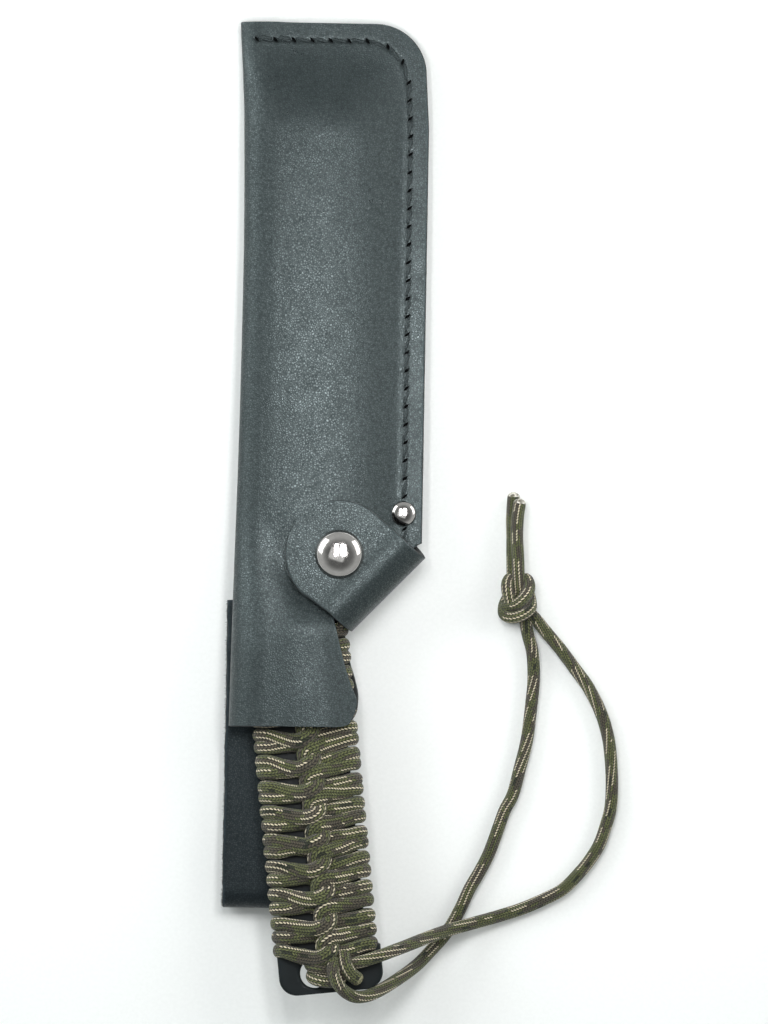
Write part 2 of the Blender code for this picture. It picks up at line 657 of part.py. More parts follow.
def belt_loop(parent):
    """The doubled strip: flat under the back panel, round at its end, and back along the table."""
    top_z = -GAP
    end_radius = (top_z - table_z(LOOP_END_Y)) / 2
    end_y = LOOP_END_Y + end_radius
    outer = [(y, top_z) for y in (LOOP_TOP_Y, LOOP_JOIN_Y, LOOP_DROP_Y, -0.0900, end_y)]
    for k in range(1, 8):
        angle = math.pi * k / 8
        outer.append((end_y - end_radius * math.sin(angle),
                      top_z - end_radius * (1 - math.cos(angle))))
    outer += [(y, table_z(y)) for y in (end_y, -0.0900, LOOP_DROP_Y)]
    doubled = top_z - 2 * LOOP_LEATHER - GAP
    middle = (LOOP_JOIN_Y + LOOP_DROP_Y) / 2
    outer += [(middle, (table_z(LOOP_DROP_Y) + doubled) / 2), (LOOP_JOIN_Y, doubled),
              (LOOP_TOP_Y, doubled)]
    inner = inward(outer, -LOOP_LEATHER)
    xs = (LOOP_LEFT, LOOP_RIGHT)
    top = [[(x, y, z) for x in xs] for y, z in outer]
    bottom = [[(x, y, z) for x in xs] for y, z in inner]
    loop = slab("belt_loop", top, bottom, parent, "leather")
    for x in LOOP_RIVETS.values():
        drill(loop, (x, LOOP_RIVET_Y), RIVET_STEM_RADIUS + GAP, THROUGH_LOOP)
    low = doubled - GAP
    for side, x in LOOP_RIVETS.items():
        names = (f"loop_rivet_cap_{side}", f"loop_rivet_post_{side}")
        rivet(names, (x, LOOP_RIVET_Y), low, -LOOP_RIVET_RISE, LEATHER + GAP + RIVET_DISC,
              low + GAP, parent)


def blade_half(y):
    """Half width of the blade, drawn in to a rounded trowel point."""
    if y <= BLADE_TAPER_Y:
        return BLADE_HALF
    t = (y - BLADE_TAPER_Y) / (BLADE_TIP_Y - BLADE_TAPER_Y)
    return BLADE_HALF * math.sqrt(max(0.0, 1 - t**BLADE_FULLNESS))


def knife_outline():
    """Left and right ends of each row across the knife, tip first, with a tooth depth."""
    rows = []
    point = BLADE_TIP_Y - TEETH_TO - TOOTH_PITCH / 2
    for share in (0.02, 0.10, 0.22, 0.38, 0.58, 0.80):
        y = BLADE_TIP_Y - point * share
        rows.append(((BLADE_CENTRE - blade_half(y), y), (BLADE_CENTRE + blade_half(y), y)))
    teeth = round((TEETH_TO - TEETH_FROM) / TOOTH_PITCH)
    for k in range(2 * teeth + 1):
        y = TEETH_TO - k * TOOTH_PITCH / 2
        notch = TOOTH_DEPTH if k % 2 else 0.0
        half = blade_half(y)
        rows.append(((BLADE_CENTRE - half + notch, y), (BLADE_CENTRE + half, y)))
    for y in (-0.008, -0.0205):
        rows.append(((BLADE_CENTRE - BLADE_HALF, y), (BLADE_CENTRE + BLADE_HALF, y)))
    for y, left_y in ((-0.0255, -0.0245), (-0.0310, -0.0290), (-0.0350, -0.0335)):
        right = strap_point(SHOULDER_U, 0.0)
        slope = math.cos(STRAP_TURN) / math.sin(STRAP_TURN)
        x = right[0] - (y - right[1]) / slope
        settle = ease(-0.020, -0.040, left_y)
        tang_left = handle_point(-0.0340, -TANG_HALF)[0]
        left = (BLADE_CENTRE - BLADE_HALF) * (1 - settle) + tang_left * settle
        rows.append(((left, left_y), (x, y)))
    for s in (-0.0335, 0.0, 0.0300, 0.0600, 0.0670):
        rows.append((handle_point(s, -TANG_HALF), handle_point(s, TANG_HALF)))
    rows.append((handle_point(BUTT_FROM + 0.0010, BUTT_CENTRE - BUTT_HALF),
                 handle_point(BUTT_FROM, BUTT_CENTRE + BUTT_HALF)))
    for angle in (0, 30, 60, 85):
        turn = math.radians(angle)
        s = BUTT_END - BUTT_CORNER * (1 - math.sin(turn))
        half = BUTT_HALF - BUTT_CORNER * (1 - math.cos(turn))
        rows.append((handle_point(s, BUTT_CENTRE - half), handle_point(s, BUTT_CENTRE + half)))
    return rows


def knife_heights(x, y, from_edge):
    """Top and bottom of the steel: dished with bevelled edges in the blade, flat in the tang."""
    across = (x - BLADE_CENTRE) / BLADE_HALF
    arch = ARCH_EDGE_Z + (ARCH_CROWN_Z - ARCH_EDGE_Z) * max(0.0, 1 - across * across)
    arch -= BLADE_DROOP * ease(DROOP_FROM_Y, BLADE_TIP_Y, y)
    flat = ease(*TANG_FLATTENS, y)
    middle = arch + (TANG_Z - arch) * flat
    ground = EDGE_THICKNESS + (STEEL - EDGE_THICKNESS) * min(1.0, from_edge / BEVEL_WIDTH)
    half = (ground + (STEEL - ground) * ease(*GRIND_ENDS, y)) / 2
    return middle + half, middle - half


def blade_and_tang(parent):
    shares = (0.0, 0.09, 0.30, 0.50, 0.70, 0.91, 1.0)
    top, bottom = [], []
    for left, right in knife_outline():
        width = math.dist(left, right)
        upper, lower = [], []
        for share in shares:
            x = left[0] + (right[0] - left[0]) * share
            y = left[1] + (right[1] - left[1]) * share
            high, low = knife_heights(x, y, width * min(share, 1 - share))
            upper.append((x, y, high))
            lower.append((x, y, low))
        top.append(upper)
        bottom.append(lower)
    knife = slab("blade_and_tang", top, bottom, parent, "coated_steel", 25)
    drill(knife, handle_point(HOLE_S, HOLE_T), HOLE_RADIUS, THROUGH_TANG, 24)
    return knife


def wrap_ring(s, half, thick, lock):
    """One turn of the wrap's outline: flat faces, round sides, higher where the cords lock."""
    ring = []
    sides = 20
    for k in range(sides):
        angle = 2 * math.pi * (k + 0.5) / sides
        c, n = math.cos(angle), math.sin(angle)
        t = half * math.copysign(abs(c) ** WRAP_SQUARENESS, c)
        z = thick * math.copysign(abs(n) ** WRAP_SQUARENESS, n)
        if z > 0:
            z += lock * max(0.0, 1 - ((t - LOCK_T) / LOCK_HALF) ** 2)
        ring.append((*handle_point(s, t), TANG_Z + z))
    return ring


def tang_bore(s):
    """The wrap's inner outline, a little clear of the tang, starting where wrap_ring does."""
    a, b = TANG_HALF + GAP, STEEL / 2 + GAP
    corners = [(a, -b), (a, b), (-a, b), (-a, -b), (a, -b)]
    ring = []
    for start, end in zip(corners, corners[1:]):
        for k in range(5):
            t = start[0] + (end[0] - start[0]) * k / 5
            z = start[1] + (end[1] - start[1]) * k / 5
            ring.append((*handle_point(s, t), TANG_Z + z))
    return ring[3:] + ring[:3]


def handle_wrap(parent):
    """A ridged sleeve round the tang, two ridges to a turn."""
    rings = []
    ridges = 2 * WRAP_TURNS
    length = WRAP_TURNS * TURN_PITCH
    for k in range(2 * ridges + 1):
        s = WRAP_FROM + length * k / (2 * ridges)
        low = RIDGE if k % 2 == 0 else 0.0
        low += WRAP_END_DROP if k in (0, 2 * ridges) else 0.0
        lock = LOCK_RISE if 1 < k < 2 * ridges - 1 else 0.0
        rings.append(wrap_ring(s, WRAP_HALF - low, WRAP_HALF_THICKNESS - low, lock))
    bore = [tang_bore(WRAP_FROM + length), tang_bore(WRAP_FROM)]
    rings += bore
    sides = len(rings[0])
    verts = [p for ring in rings for p in ring]
    faces = []
    for j in range(len(rings)):
        following = (j + 1) % len(rings)
        for i in range(sides):
            n = (i + 1) % sides
            faces.append((j * sides + i, j * sides + n, following * sides + n,
                          following * sides + i))
    return solid("handle_wrap", verts, faces, parent, "paracord", 30)


def lanyard_knot(parent):
    """The outer shape of the overhand knot tied in both strands."""
    cx, cy, cz = on_table(*KNOT_CENTRE)
    work = bmesh.new()
    bmesh.ops.create_uvsphere(work, u_segments=16, v_segments=10, radius=1.0)
    bmesh.ops.transform(work, matrix=Matrix.Diagonal((*KNOT_HALF, 1.0)), verts=work.verts)
    bmesh.ops.translate(work, vec=(cx, cy, cz), verts=work.verts)
    mesh = bpy.data.meshes.new("lanyard_knot")
    work.to_mesh(mesh)
    work.free()
    mesh.shade_smooth()
    return place(bpy.data.objects.new("lanyard_knot", mesh), parent, "paracord_lanyard")


def lanyard(parent):
    routes = {
        "lanyard_strand_upper": STRAND_UPPER, "lanyard_strand_lower": STRAND_LOWER,
        "lanyard_tail_left": TAIL_LEFT, "lanyard_tail_right": TAIL_RIGHT,
        "lanyard_hitch": HITCH, "wrap_cord_end": WRAP_END,
    }
    for name, route in routes.items():
        points = smooth_route([on_table(*p) for p in route], 2 if len(route) < 8 else 1)
        tube(name, points, CORD_RADIUS, 2, parent, "paracord_lanyard")
    lanyard_knot(parent)


def settle(assembly, left_out):
    """Moves the assembly so that its box, less the lanyard, stands centred on the origin."""
    bpy.context.view_layer.update()
    graph = bpy.context.evaluated_depsgraph_get()
    points = []
    for obj in bpy.context.scene.objects:
        if obj.type in ("MESH", "CURVE") and not obj.hide_render and obj.name not in left_out:
            shape = obj.evaluated_get(graph)
            mesh = shape.to_mesh()
            points += [shape.matrix_world @ v.co for v in mesh.vertices]
            shape.to_mesh_clear()
    low = [min(p[i] for p in points) for i in range(3)]
    high = [max(p[i] for p in points) for i in range(3)]
    assembly.location -= Vector(((low[0] + high[0]) / 2, (low[1] + high[1]) / 2, low[2]))


def main():
    for obj in list(bpy.data.objects):
        bpy.data.objects.remove(obj, do_unlink=True)
    assembly = empty("assembly", None, rotation=(-REST_TILT, 0, 0))
    hinge_place = (*strap_point(HINGE_U, 0.0), BEND_RADIUS)
    knife_axis = empty("knife_draw_axis", assembly, (0, MOUTH_Y, TANG_Z))
    strap_axis = empty("strap_open_axis", assembly, hinge_place)

    sheath_body(assembly)
    sheath_welt(assembly)
    seam_stitching(assembly)
    rivet(("seam_rivet_cap", "seam_rivet_post"), SEAM_RIVET, SEAM_HEIGHT + GAP, SEAM_RIVET_RISE,
          -GAP - RIVET_DISC, SEAM_HEIGHT, assembly)
    belt_loop(assembly)
    strap_bend(assembly)
    strap_flap(strap_axis)
    snap(assembly, strap_axis)

    blade_and_tang(knife_axis)
    handle_wrap(knife_axis)
    lanyard(knife_axis)
    settle(assembly, ("lanyard_strand_upper", "lanyard_strand_lower", "lanyard_knot",
                      "lanyard_tail_left", "lanyard_tail_right"))
    bpy.context.view_layer.update()


main()
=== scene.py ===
"""Looks for the hori hori knife in its leather sheath: leather, cord, thread, steel and light."""

import json
import math

import bmesh
import bpy
import numpy as np
from mathutils import Matrix, Vector


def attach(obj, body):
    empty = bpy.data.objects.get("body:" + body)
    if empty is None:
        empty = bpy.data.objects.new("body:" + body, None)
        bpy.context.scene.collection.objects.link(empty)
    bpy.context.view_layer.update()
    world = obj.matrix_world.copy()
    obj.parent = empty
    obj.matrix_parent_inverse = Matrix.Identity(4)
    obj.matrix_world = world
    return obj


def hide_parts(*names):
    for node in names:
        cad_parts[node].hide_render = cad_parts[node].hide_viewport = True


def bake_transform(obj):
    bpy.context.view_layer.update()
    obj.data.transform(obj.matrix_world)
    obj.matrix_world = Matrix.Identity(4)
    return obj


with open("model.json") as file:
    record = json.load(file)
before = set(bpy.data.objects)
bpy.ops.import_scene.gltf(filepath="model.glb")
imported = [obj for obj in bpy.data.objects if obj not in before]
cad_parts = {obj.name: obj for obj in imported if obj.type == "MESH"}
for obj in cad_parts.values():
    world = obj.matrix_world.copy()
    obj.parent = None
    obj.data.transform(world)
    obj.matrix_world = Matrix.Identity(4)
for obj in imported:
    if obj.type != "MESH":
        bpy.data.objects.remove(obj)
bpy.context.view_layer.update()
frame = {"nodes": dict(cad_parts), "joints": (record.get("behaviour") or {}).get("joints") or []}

# Sizes that repeat the CAD's, in metres, in the sheath frame
LEATHER = 0.0022
LOOP_LEATHER = 0.0020
WELT = 0.0024
WELT_WIDTH = 0.0086
STEEL = 0.0032
GAP = 0.0003
CORD_RADIUS = 0.0020
LANYARD_STEP = 0.0006
WRAP_STEP = 0.0005
REST_TILT = math.radians(2.17)
TIP_Y = 0.1552
MOUTH_Y = -0.0685
FOLD_EDGE = [(-0.0685, -0.0309), (-0.0285, -0.0303), (0.035, -0.0292), (0.080, -0.0289),
             (0.124, -0.0295), (0.1552, -0.0312)]
SEAM_X = 0.0290
SEAM_TAPER_Y = 0.122
SEAM_TAPER = 0.06
TIP_CORNER = 0.015
SEAM_HEIGHT = 2 * LEATHER + WELT + 2 * GAP
APRON_EDGE = [(-0.0663, 0.0078), (-0.063, 0.0092), (-0.0600, 0.0095), (-0.0565, 0.0082),
              (-0.0520, 0.0065), (-0.0459, 0.0047)]
BACK_EDGE = [(-0.0663, 0.0078), (-0.063, 0.0094), (-0.0586, 0.0097), (-0.0535, 0.0087),
             (-0.0480, 0.0070), (-0.0384, 0.0050)]
MOUTH_CORNER_X = 0.0030
OVER_BLADE = [(-0.0210, 0.0114), (-0.0120, 0.0120), (-0.0038, 0.0122), (0.0050, 0.0114),
              (0.0110, 0.0103), (0.0155, 0.0090), (0.0190, 0.0079), (0.0215, SEAM_HEIGHT),
              (0.0300, SEAM_HEIGHT)]
OVER_HANDLE = [(-0.0145, 0.0162), (-0.0080, 0.0168), (0.0, 0.0175), (0.0070, 0.0171),
               (0.0115, 0.0161), (0.0145, 0.0152), (0.0190, 0.0140)]
FOLD_CREST = [(-0.0685, 0.0162), (-0.052, 0.0160), (-0.028, 0.0144), (-0.005, 0.0126),
              (0.020, 0.0115), (0.110, 0.0112), (0.135, 0.0098), (0.1497, SEAM_HEIGHT),
              (0.1552, SEAM_HEIGHT)]
HANDLE_RISE = (-0.0235, -0.0395)
LEFT_RISE = (0.0020, -0.0500)
TIP_FALL = (0.120, 0.1500)
FOLD_WIDTH = 0.0115
BLADE_CENTRE = -0.0038
BLADE_HALF = 0.0210
BLADE_TIP_Y = 0.1380
BLADE_TAPER_Y = 0.075
ARCH_EDGE_Z = 0.0042
ARCH_CROWN_Z = 0.0069
TANG_Z = 0.0080
BEVEL_WIDTH = 0.0040
EDGE_THICKNESS = 0.0008
TEETH_FROM, TEETH_TO = 0.004, 0.094
TOOTH_PITCH, TOOTH_DEPTH = 0.0050, 0.0014
SHOULDER_Y = -0.0205
TIP_DROP = 0.0021
TANG_HALF = 0.0130
TANG_FROM_S, TANG_TO_S = -0.0335, 0.0670
HANDLE_POINT = (-0.00665, -0.0696)
HANDLE_CANT = math.radians(6.4)
BUTT_HALF = 0.0164
BUTT_CENTRE = 0.0009
BUTT_END = 0.0832
BUTT_CORNER = 0.0055
HOLE_S, HOLE_T, HOLE_RADIUS = 0.0767, -0.0042, 0.0046
STRAP_POINT = (0.0190, -0.02625)
STRAP_TURN = math.radians(135.9)
STRAP_HALF = 0.01635
BEND_RADIUS = 0.0090
FLAP_Z = 0.0148
FLAP_DROP_U = 0.0135
SNAP_U, SNAP_F = 0.0199, 0.0021
FLAP_END_RADIUS = 0.0169
STRAP_SKEW = 0.0009
FRONT_CUT_U = 0.0048
CUT_HALF, CUT_SKEW = 0.0176, 0.0022
HINGE_U = -0.0015
CUT_STEP = 0.0006
LOOP_LEFT, LOOP_RIGHT = -0.0319, 0.0045
FIBRE_COUNT = 1500
LOOP_TOP_Y, LOOP_END_Y = -0.0287, -0.1262
LOOP_JOIN_Y, LOOP_DROP_Y = -0.046, -0.062
SEAM_RIVET = (0.0233, -0.0004)
RIVET_CAP_RADIUS = 0.0040
DOME_STEPS = 18
SNAP_CAP_RADIUS = 0.00775
STITCH_PITCH = 0.00585
STITCH_INSET = 0.0055
STITCH_CORNER = 0.0130
SEAM_START_X, SEAM_STOP_Y = -0.0259, 0.0050
SLIT_POINTS = 16
SLIT_LENGTH, SLIT_WIDTH = 0.00115, 0.00042
PLY_RADIUS = 0.00047
STITCH_SLANT = 0.00042
SLIT_SLANT = math.radians(48)

# Wrist lanyard: x, y in the sheath's plane and the height of the cord's middle off the table
STRAND_UPPER = [
    (0.0103, -0.1428, 0.0233), (0.0135, -0.1419, 0.0234), (0.0193, -0.1399, 0.0228),
    (0.0264, -0.1372, 0.0188), (0.0335, -0.1344, 0.0130), (0.0404, -0.1320, 0.0082),
    (0.0474, -0.1300, 0.0050), (0.0556, -0.1276, 0.0031), (0.0631, -0.1251, 0.0025),
    (0.0701, -0.1220, 0.0025), (0.0761, -0.1187, 0.0025), (0.0806, -0.1142, 0.0025),
    (0.0845, -0.1093, 0.0025), (0.0875, -0.1042, 0.0025), (0.0897, -0.0975, 0.0025),
    (0.0909, -0.0924, 0.0025), (0.0912, -0.0860, 0.0025), (0.0908, -0.0778, 0.0025),
    (0.0897, -0.0699, 0.0025), (0.0873, -0.0623, 0.0025), (0.0832, -0.0544, 0.0025),
    (0.0786, -0.0482, 0.0025), (0.0740, -0.0422, 0.0025), (0.0692, -0.0367, 0.0029),
    (0.0659, -0.0328, 0.0035),
]
STRAND_LOWER = [
    (0.0035, -0.1420, 0.0240), (0.0037, -0.1462, 0.0262), (0.0055, -0.1497, 0.0264),
    (0.0081, -0.1522, 0.0250), (0.0115, -0.1534, 0.0236), (0.0165, -0.1523, 0.0210),
    (0.0240, -0.1479, 0.0142), (0.0301, -0.1434, 0.0074), (0.0345, -0.1388, 0.0040),
    (0.0385, -0.1343, 0.0026), (0.0415, -0.1295, 0.0025), (0.0438, -0.1250, 0.0025),
    (0.0465, -0.1189, 0.0025), (0.0495, -0.1136, 0.0025), (0.0524, -0.1077, 0.0025),
    (0.0551, -0.1000, 0.0025), (0.0572, -0.0939, 0.0025), (0.0597, -0.0888, 0.0025),
    (0.0617, -0.0808, 0.0025), (0.0638, -0.0716, 0.0025), (0.0649, -0.0621, 0.0025),
    (0.0657, -0.0522, 0.0025), (0.0652, -0.0438, 0.0026), (0.0638, -0.0385, 0.0029),
    (0.0632, -0.0359, 0.0031),
]
TAIL_LEFT = [
    (0.0584, -0.0172, 0.0030), (0.0583, -0.0130, 0.0025), (0.0582, -0.0070, 0.0023),
    (0.0580, -0.0010, 0.0023), (0.0583, 0.0060, 0.0023),
]
TAIL_RIGHT = [
    (0.0601, -0.0172, 0.0066), (0.0599, -0.0130, 0.0064), (0.0595, -0.0070, 0.0061),
    (0.0596, -0.0010, 0.0060), (0.0602, 0.0038, 0.0060),
]
KNOT_CENTRE = (0.0602, -0.0270)


# ---------------------------------------------------------------- places and curves

def sheath_matrix():
    """From the sheath frame to the row frame, fixed by where the strap's hinge is in both."""
    turn = Matrix.Rotation(-REST_TILT, 4, "X")
    hinge = Vector((*strap_point(HINGE_U, 0.0), BEND_RADIUS))
    joint = next(j for j in frame["joints"] if j["name"] == "strap_open")
    return Matrix.Translation(Vector(joint["pos_m"]) - turn @ hinge) @ turn


def strap_point(u, f):
    """A place on the strap: u runs in from its fold, f along the fold."""
    x, y = STRAP_POINT
    ax, ay = math.cos(STRAP_TURN), math.sin(STRAP_TURN)
    return (x + u * ax - f * ay, y + u * ay + f * ax)


def handle_point(s, t):
    """A place on the handle: s down it from the sheath's mouth, t across to the right."""
    sin, cos = math.sin(HANDLE_CANT), math.cos(HANDLE_CANT)
    return (HANDLE_POINT[0] + s * sin + t * cos, HANDLE_POINT[1] - s * cos + t * sin)


TO_ROW = sheath_matrix()
ROTATION = np.array(TO_ROW.to_3x3())
SHIFT = np.array(TO_ROW.translation)


def to_row(points):
    return np.asarray(points, float) @ ROTATION.T + SHIFT


def ease(start, end, x):
    t = np.clip((x - start) / (end - start), 0.0, 1.0)
    return t * t * (3 - 2 * t)


def smooth_value(table, x):
    """A smooth curve through the (x, value) rows of a table, level at a flat stretch."""
    xs, ys = np.array(table, float).T
    rise = np.diff(ys) / np.diff(xs)
    product = rise[:-1] * rise[1:]
    total = np.where(product > 0, rise[:-1] + rise[1:], 1.0)
    slope = np.concatenate([[rise[0]], np.where(product > 0, 2 * product / total, 0.0), [rise[-1]]])
    x = np.clip(np.asarray(x, float), xs[0], xs[-1])
    i = np.clip(np.searchsorted(xs, x, side="right") - 1, 0, len(xs) - 2)
    step = xs[i + 1] - xs[i]
    t = (x - xs[i]) / step
    return (ys[i] * (1 + 2 * t) * (1 - t) ** 2 + slope[i] * step * t * (1 - t) ** 2
            + ys[i + 1] * t * t * (3 - 2 * t) - slope[i + 1] * step * t * t * (1 - t))


def smooth_route(points, per_span):
    """Points along the curve that runs smoothly through a cord's route."""
    rows = np.asarray(points, float)
    rows = np.vstack([2 * rows[0] - rows[1], rows, 2 * rows[-1] - rows[-2]])
    a, b, c, d = rows[:-3, None], rows[1:-2, None], rows[2:-1, None], rows[3:, None]
    t = (np.arange(per_span) / per_span)[None, :, None]
    bend = (2 * a - 5 * b + 4 * c - d) * t * t + (3 * b - a - 3 * c + d) * t**3
    curve = (b + ((c - a) * t + bend) / 2).reshape(-1, rows.shape[1])
    return np.vstack([curve, rows[-2]])


def evenly(points, step):
    """The same line with its points a fixed step apart."""
    points = np.asarray(points, float)
    along = np.concatenate([[0], np.cumsum(np.linalg.norm(np.diff(points[:, :3], axis=0), axis=1))])
    places = np.linspace(0, along[-1], max(2, round(along[-1] / step) + 1))
    return np.stack([np.interp(places, along, column) for column in points.T], 1)


def softened(points, rounds):
    """The same line with its kinks relaxed, its ends kept."""
    points = np.array(points, float)
    for _ in range(rounds):
        points[1:-1] += 0.5 * ((points[:-2] + points[2:]) / 2 - points[1:-1])
    return points


def table_z(y):
    return (y - TIP_Y) * math.tan(REST_TILT)


def on_table(route):
    """Sheath-frame points from places in plan and heights off the table."""
    rows = np.asarray(route, float)
    return np.stack([rows[:, 0], rows[:, 1],
                     table_z(rows[:, 1]) + rows[:, 2] / math.cos(REST_TILT)], 1)


# ---------------------------------------------------------------- materials

class Nodes:
    """Builds a material. Inputs are plain values or other nodes' sockets."""

    def __init__(self, name, **values):
        self.material = bpy.data.materials.new(name)
        self.material.use_nodes = True
        self.tree = self.material.node_tree
        self.shader = self.tree.nodes["Principled BSDF"]
        for key, value in values.items():
            self.link(value, self.shader.inputs[key.replace("_", " ")])

    def link(self, value, socket):
        if isinstance(value, bpy.types.NodeSocket):
            self.tree.links.new(value, socket)
        else:
            socket.default_value = value

    def add(self, kind, settings=None, output=0, **inputs):
        node = self.tree.nodes.new("ShaderNode" + kind)
        for key, value in (settings or {}).items():
            setattr(node, key, value)
        for key, value in inputs.items():
            self.link(value, node.inputs[key.replace("_", " ")])
        return node.outputs[output]

    def math(self, operation, *values):
        node = self.tree.nodes.new("ShaderNodeMath")
        node.operation = operation
        for value, socket in zip(values, node.inputs):
            self.link(value, socket)
        return node.outputs[0]

    def times(self, a, b):
        return self.math("MULTIPLY", a, b)

    def plus(self, a, b):
        return self.math("ADD", a, b)

    def minus(self, a, b):
        return self.math("SUBTRACT", a, b)

    def span(self, value, low, high, to_low=0.0, to_high=1.0):
        node = self.tree.nodes.new("ShaderNodeMapRange")
        node.interpolation_type = "SMOOTHSTEP"
        for socket, given in zip(node.inputs, (value, low, high, to_low, to_high)):
            self.link(given, socket)
        return node.outputs[0]

    def mix(self, share, a, b):
        node = self.tree.nodes.new("ShaderNodeMix")
        node.data_type = "RGBA"
        self.link(share, node.inputs[0])
        self.link(a if isinstance(a, bpy.types.NodeSocket) else (*a, 1.0), node.inputs[6])
        self.link(b if isinstance(b, bpy.types.NodeSocket) else (*b, 1.0), node.inputs[7])
        return node.outputs[2]

    def place(self):
        """Where the surface was when it was made, in metres, so that it bends with the piece."""
        return self.add("Attribute", {"attribute_name": "rest"}, 1)

    def scaled(self, vector, scale):
        node = self.tree.nodes.new("ShaderNodeVectorMath")
        node.operation = "MULTIPLY"
        self.link(vector, node.inputs[0])
        node.inputs[1].default_value = scale if isinstance(scale, tuple) else (scale,) * 3
        return node.outputs[0]

    def noise(self, vector, scale, detail=2.0, rough=0.5):
        return self.add("TexNoise", None, 0, Vector=self.scaled(vector, scale), Scale=1.0,
                        Detail=detail, Roughness=rough)

    def bump(self, *layers):
        """Stacks (height socket, depth in metres) layers onto the shader's normal."""
        normal = None
        for height, depth in layers:
            node = self.tree.nodes.new("ShaderNodeBump")
            node.inputs["Strength"].default_value = 1.0
            node.inputs["Distance"].default_value = depth
            self.link(height, node.inputs["Height"])
            if normal is not None:
                self.link(normal, node.inputs["Normal"])
            normal = node.outputs[0]
        self.link(normal, self.shader.inputs["Normal"])

    def colour(self, value):
        self.link(value if isinstance(value, bpy.types.NodeSocket) else (*value, 1.0),
                  self.shader.inputs["Base Color"])

    def rough(self, value):
        self.link(value, self.shader.inputs["Roughness"])


def leather_material(name, tone, pebble=1400.0, depth=0.00003, roughness=0.34, specular=0.82):
    """Dyed cowhide: round pebbles in creases, painted shade darkening the creases and the leather round
    the seam's awl holes, and wear where the edge value is high.
    """
    g = Nodes(name, Specular_Tint=(0.83, 0.98, 1.0, 1.0))
    place = g.place()
    warp = g.add("TexNoise", None, 1, Vector=g.scaled(place, 700.0), Scale=1.0, Detail=1.0)
    adder = g.tree.nodes.new("ShaderNodeVectorMath")
    g.link(place, adder.inputs[0])
    g.link(g.scaled(warp, 0.00045), adder.inputs[1])
    cells = g.add("TexVoronoi", {"feature": "DISTANCE_TO_EDGE"}, 0,
                  Vector=g.scaled(adder.outputs[0], pebble), Scale=1.0)
    crease = g.span(cells, 0.02, 0.36)
    swell = g.noise(place, 1000.0, 2.0, 0.6)
    broad = g.noise(place, 38.0, 3.0, 0.55)
    patch = g.noise(place, 140.0, 2.0, 0.5)
    light = tuple(c * 1.15 for c in tone)
    dark = tuple(c * 0.80 for c in tone)
    body = g.mix(g.span(broad, 0.35, 0.68), tone, light)
    # painted shade: the creases between the pebbles are painted darker, on top of their bump
    body = g.mix(g.span(crease, 0.5, 0.0, 0.0, 0.75), body, dark)
    worn = g.add("Attribute", {"attribute_name": "edge"}, 2)
    wear = g.times(g.span(worn, 0.25, 1.0), g.span(patch, 0.38, 0.62, 0.20, 0.8))
    body = g.mix(wear, body, tuple(c * 2.6 for c in tone))
    # painted shade: the leather round the seam's awl holes is painted near black
    hole_shade = g.add("Attribute", {"attribute_name": "hole_shade"}, 2)
    g.colour(g.mix(hole_shade, body, (0.0008, 0.0009, 0.0010)))
    g.rough(g.plus(g.span(crease, 0.0, 1.0, roughness + 0.14, roughness - 0.04),
                   g.span(patch, 0.3, 0.7, -0.03, 0.05)))
    sheen = g.times(g.span(crease, 0.0, 1.0, 0.70, 1.10), g.span(swell, 0.3, 0.7, 0.80, 1.20))
    g.link(g.times(sheen, specular), g.shader.inputs["Specular IOR Level"])
    g.bump((crease, depth), (swell, depth), (broad, 0.0003))
    return g.material


def raw_edge_material(name, tone):
    """Cut leather: packed fibres in thin layers along the cut."""
    g = Nodes(name, Specular_IOR_Level=0.2)
    place = g.place()
    layers = g.noise(g.scaled(place, (0.35, 0.35, 3.2)), 900.0, 3.0, 0.65)
    fibre = g.noise(place, 2600.0, 3.0, 0.7)
    g.colour(g.mix(g.span(layers, 0.32, 0.70), tuple(c * 0.6 for c in tone),
                   tuple(c * 1.5 for c in tone)))
    g.rough(g.span(fibre, 0.3, 0.7, 0.72, 0.95))
    g.bump((layers, 0.00022), (fibre, 0.00010))
    return g.material


def flesh_material(name, tone):
    """The leather's inner side: suede nap."""
    g = Nodes(name, Specular_IOR_Level=0.15, Sheen_Weight=0.25)
    place = g.place()
    nap = g.noise(place, 1700.0, 4.0, 0.7)
    clouds = g.noise(place, 90.0, 3.0, 0.6)
    g.colour(g.mix(g.span(clouds, 0.3, 0.7), tuple(c * 0.7 for c in tone),
                   tuple(c * 1.3 for c in tone)))
    g.rough(g.span(nap, 0.3, 0.7, 0.82, 0.98))
    g.bump((nap, 0.00018))
    return g.material


WALES = 16
PICK = 0.92
OLIVE, OLIVE_DARK = (0.112, 0.124, 0.046), (0.018, 0.023, 0.010)
BROWN, CREAM = (0.072, 0.062, 0.042), (0.52, 0.46, 0.33)


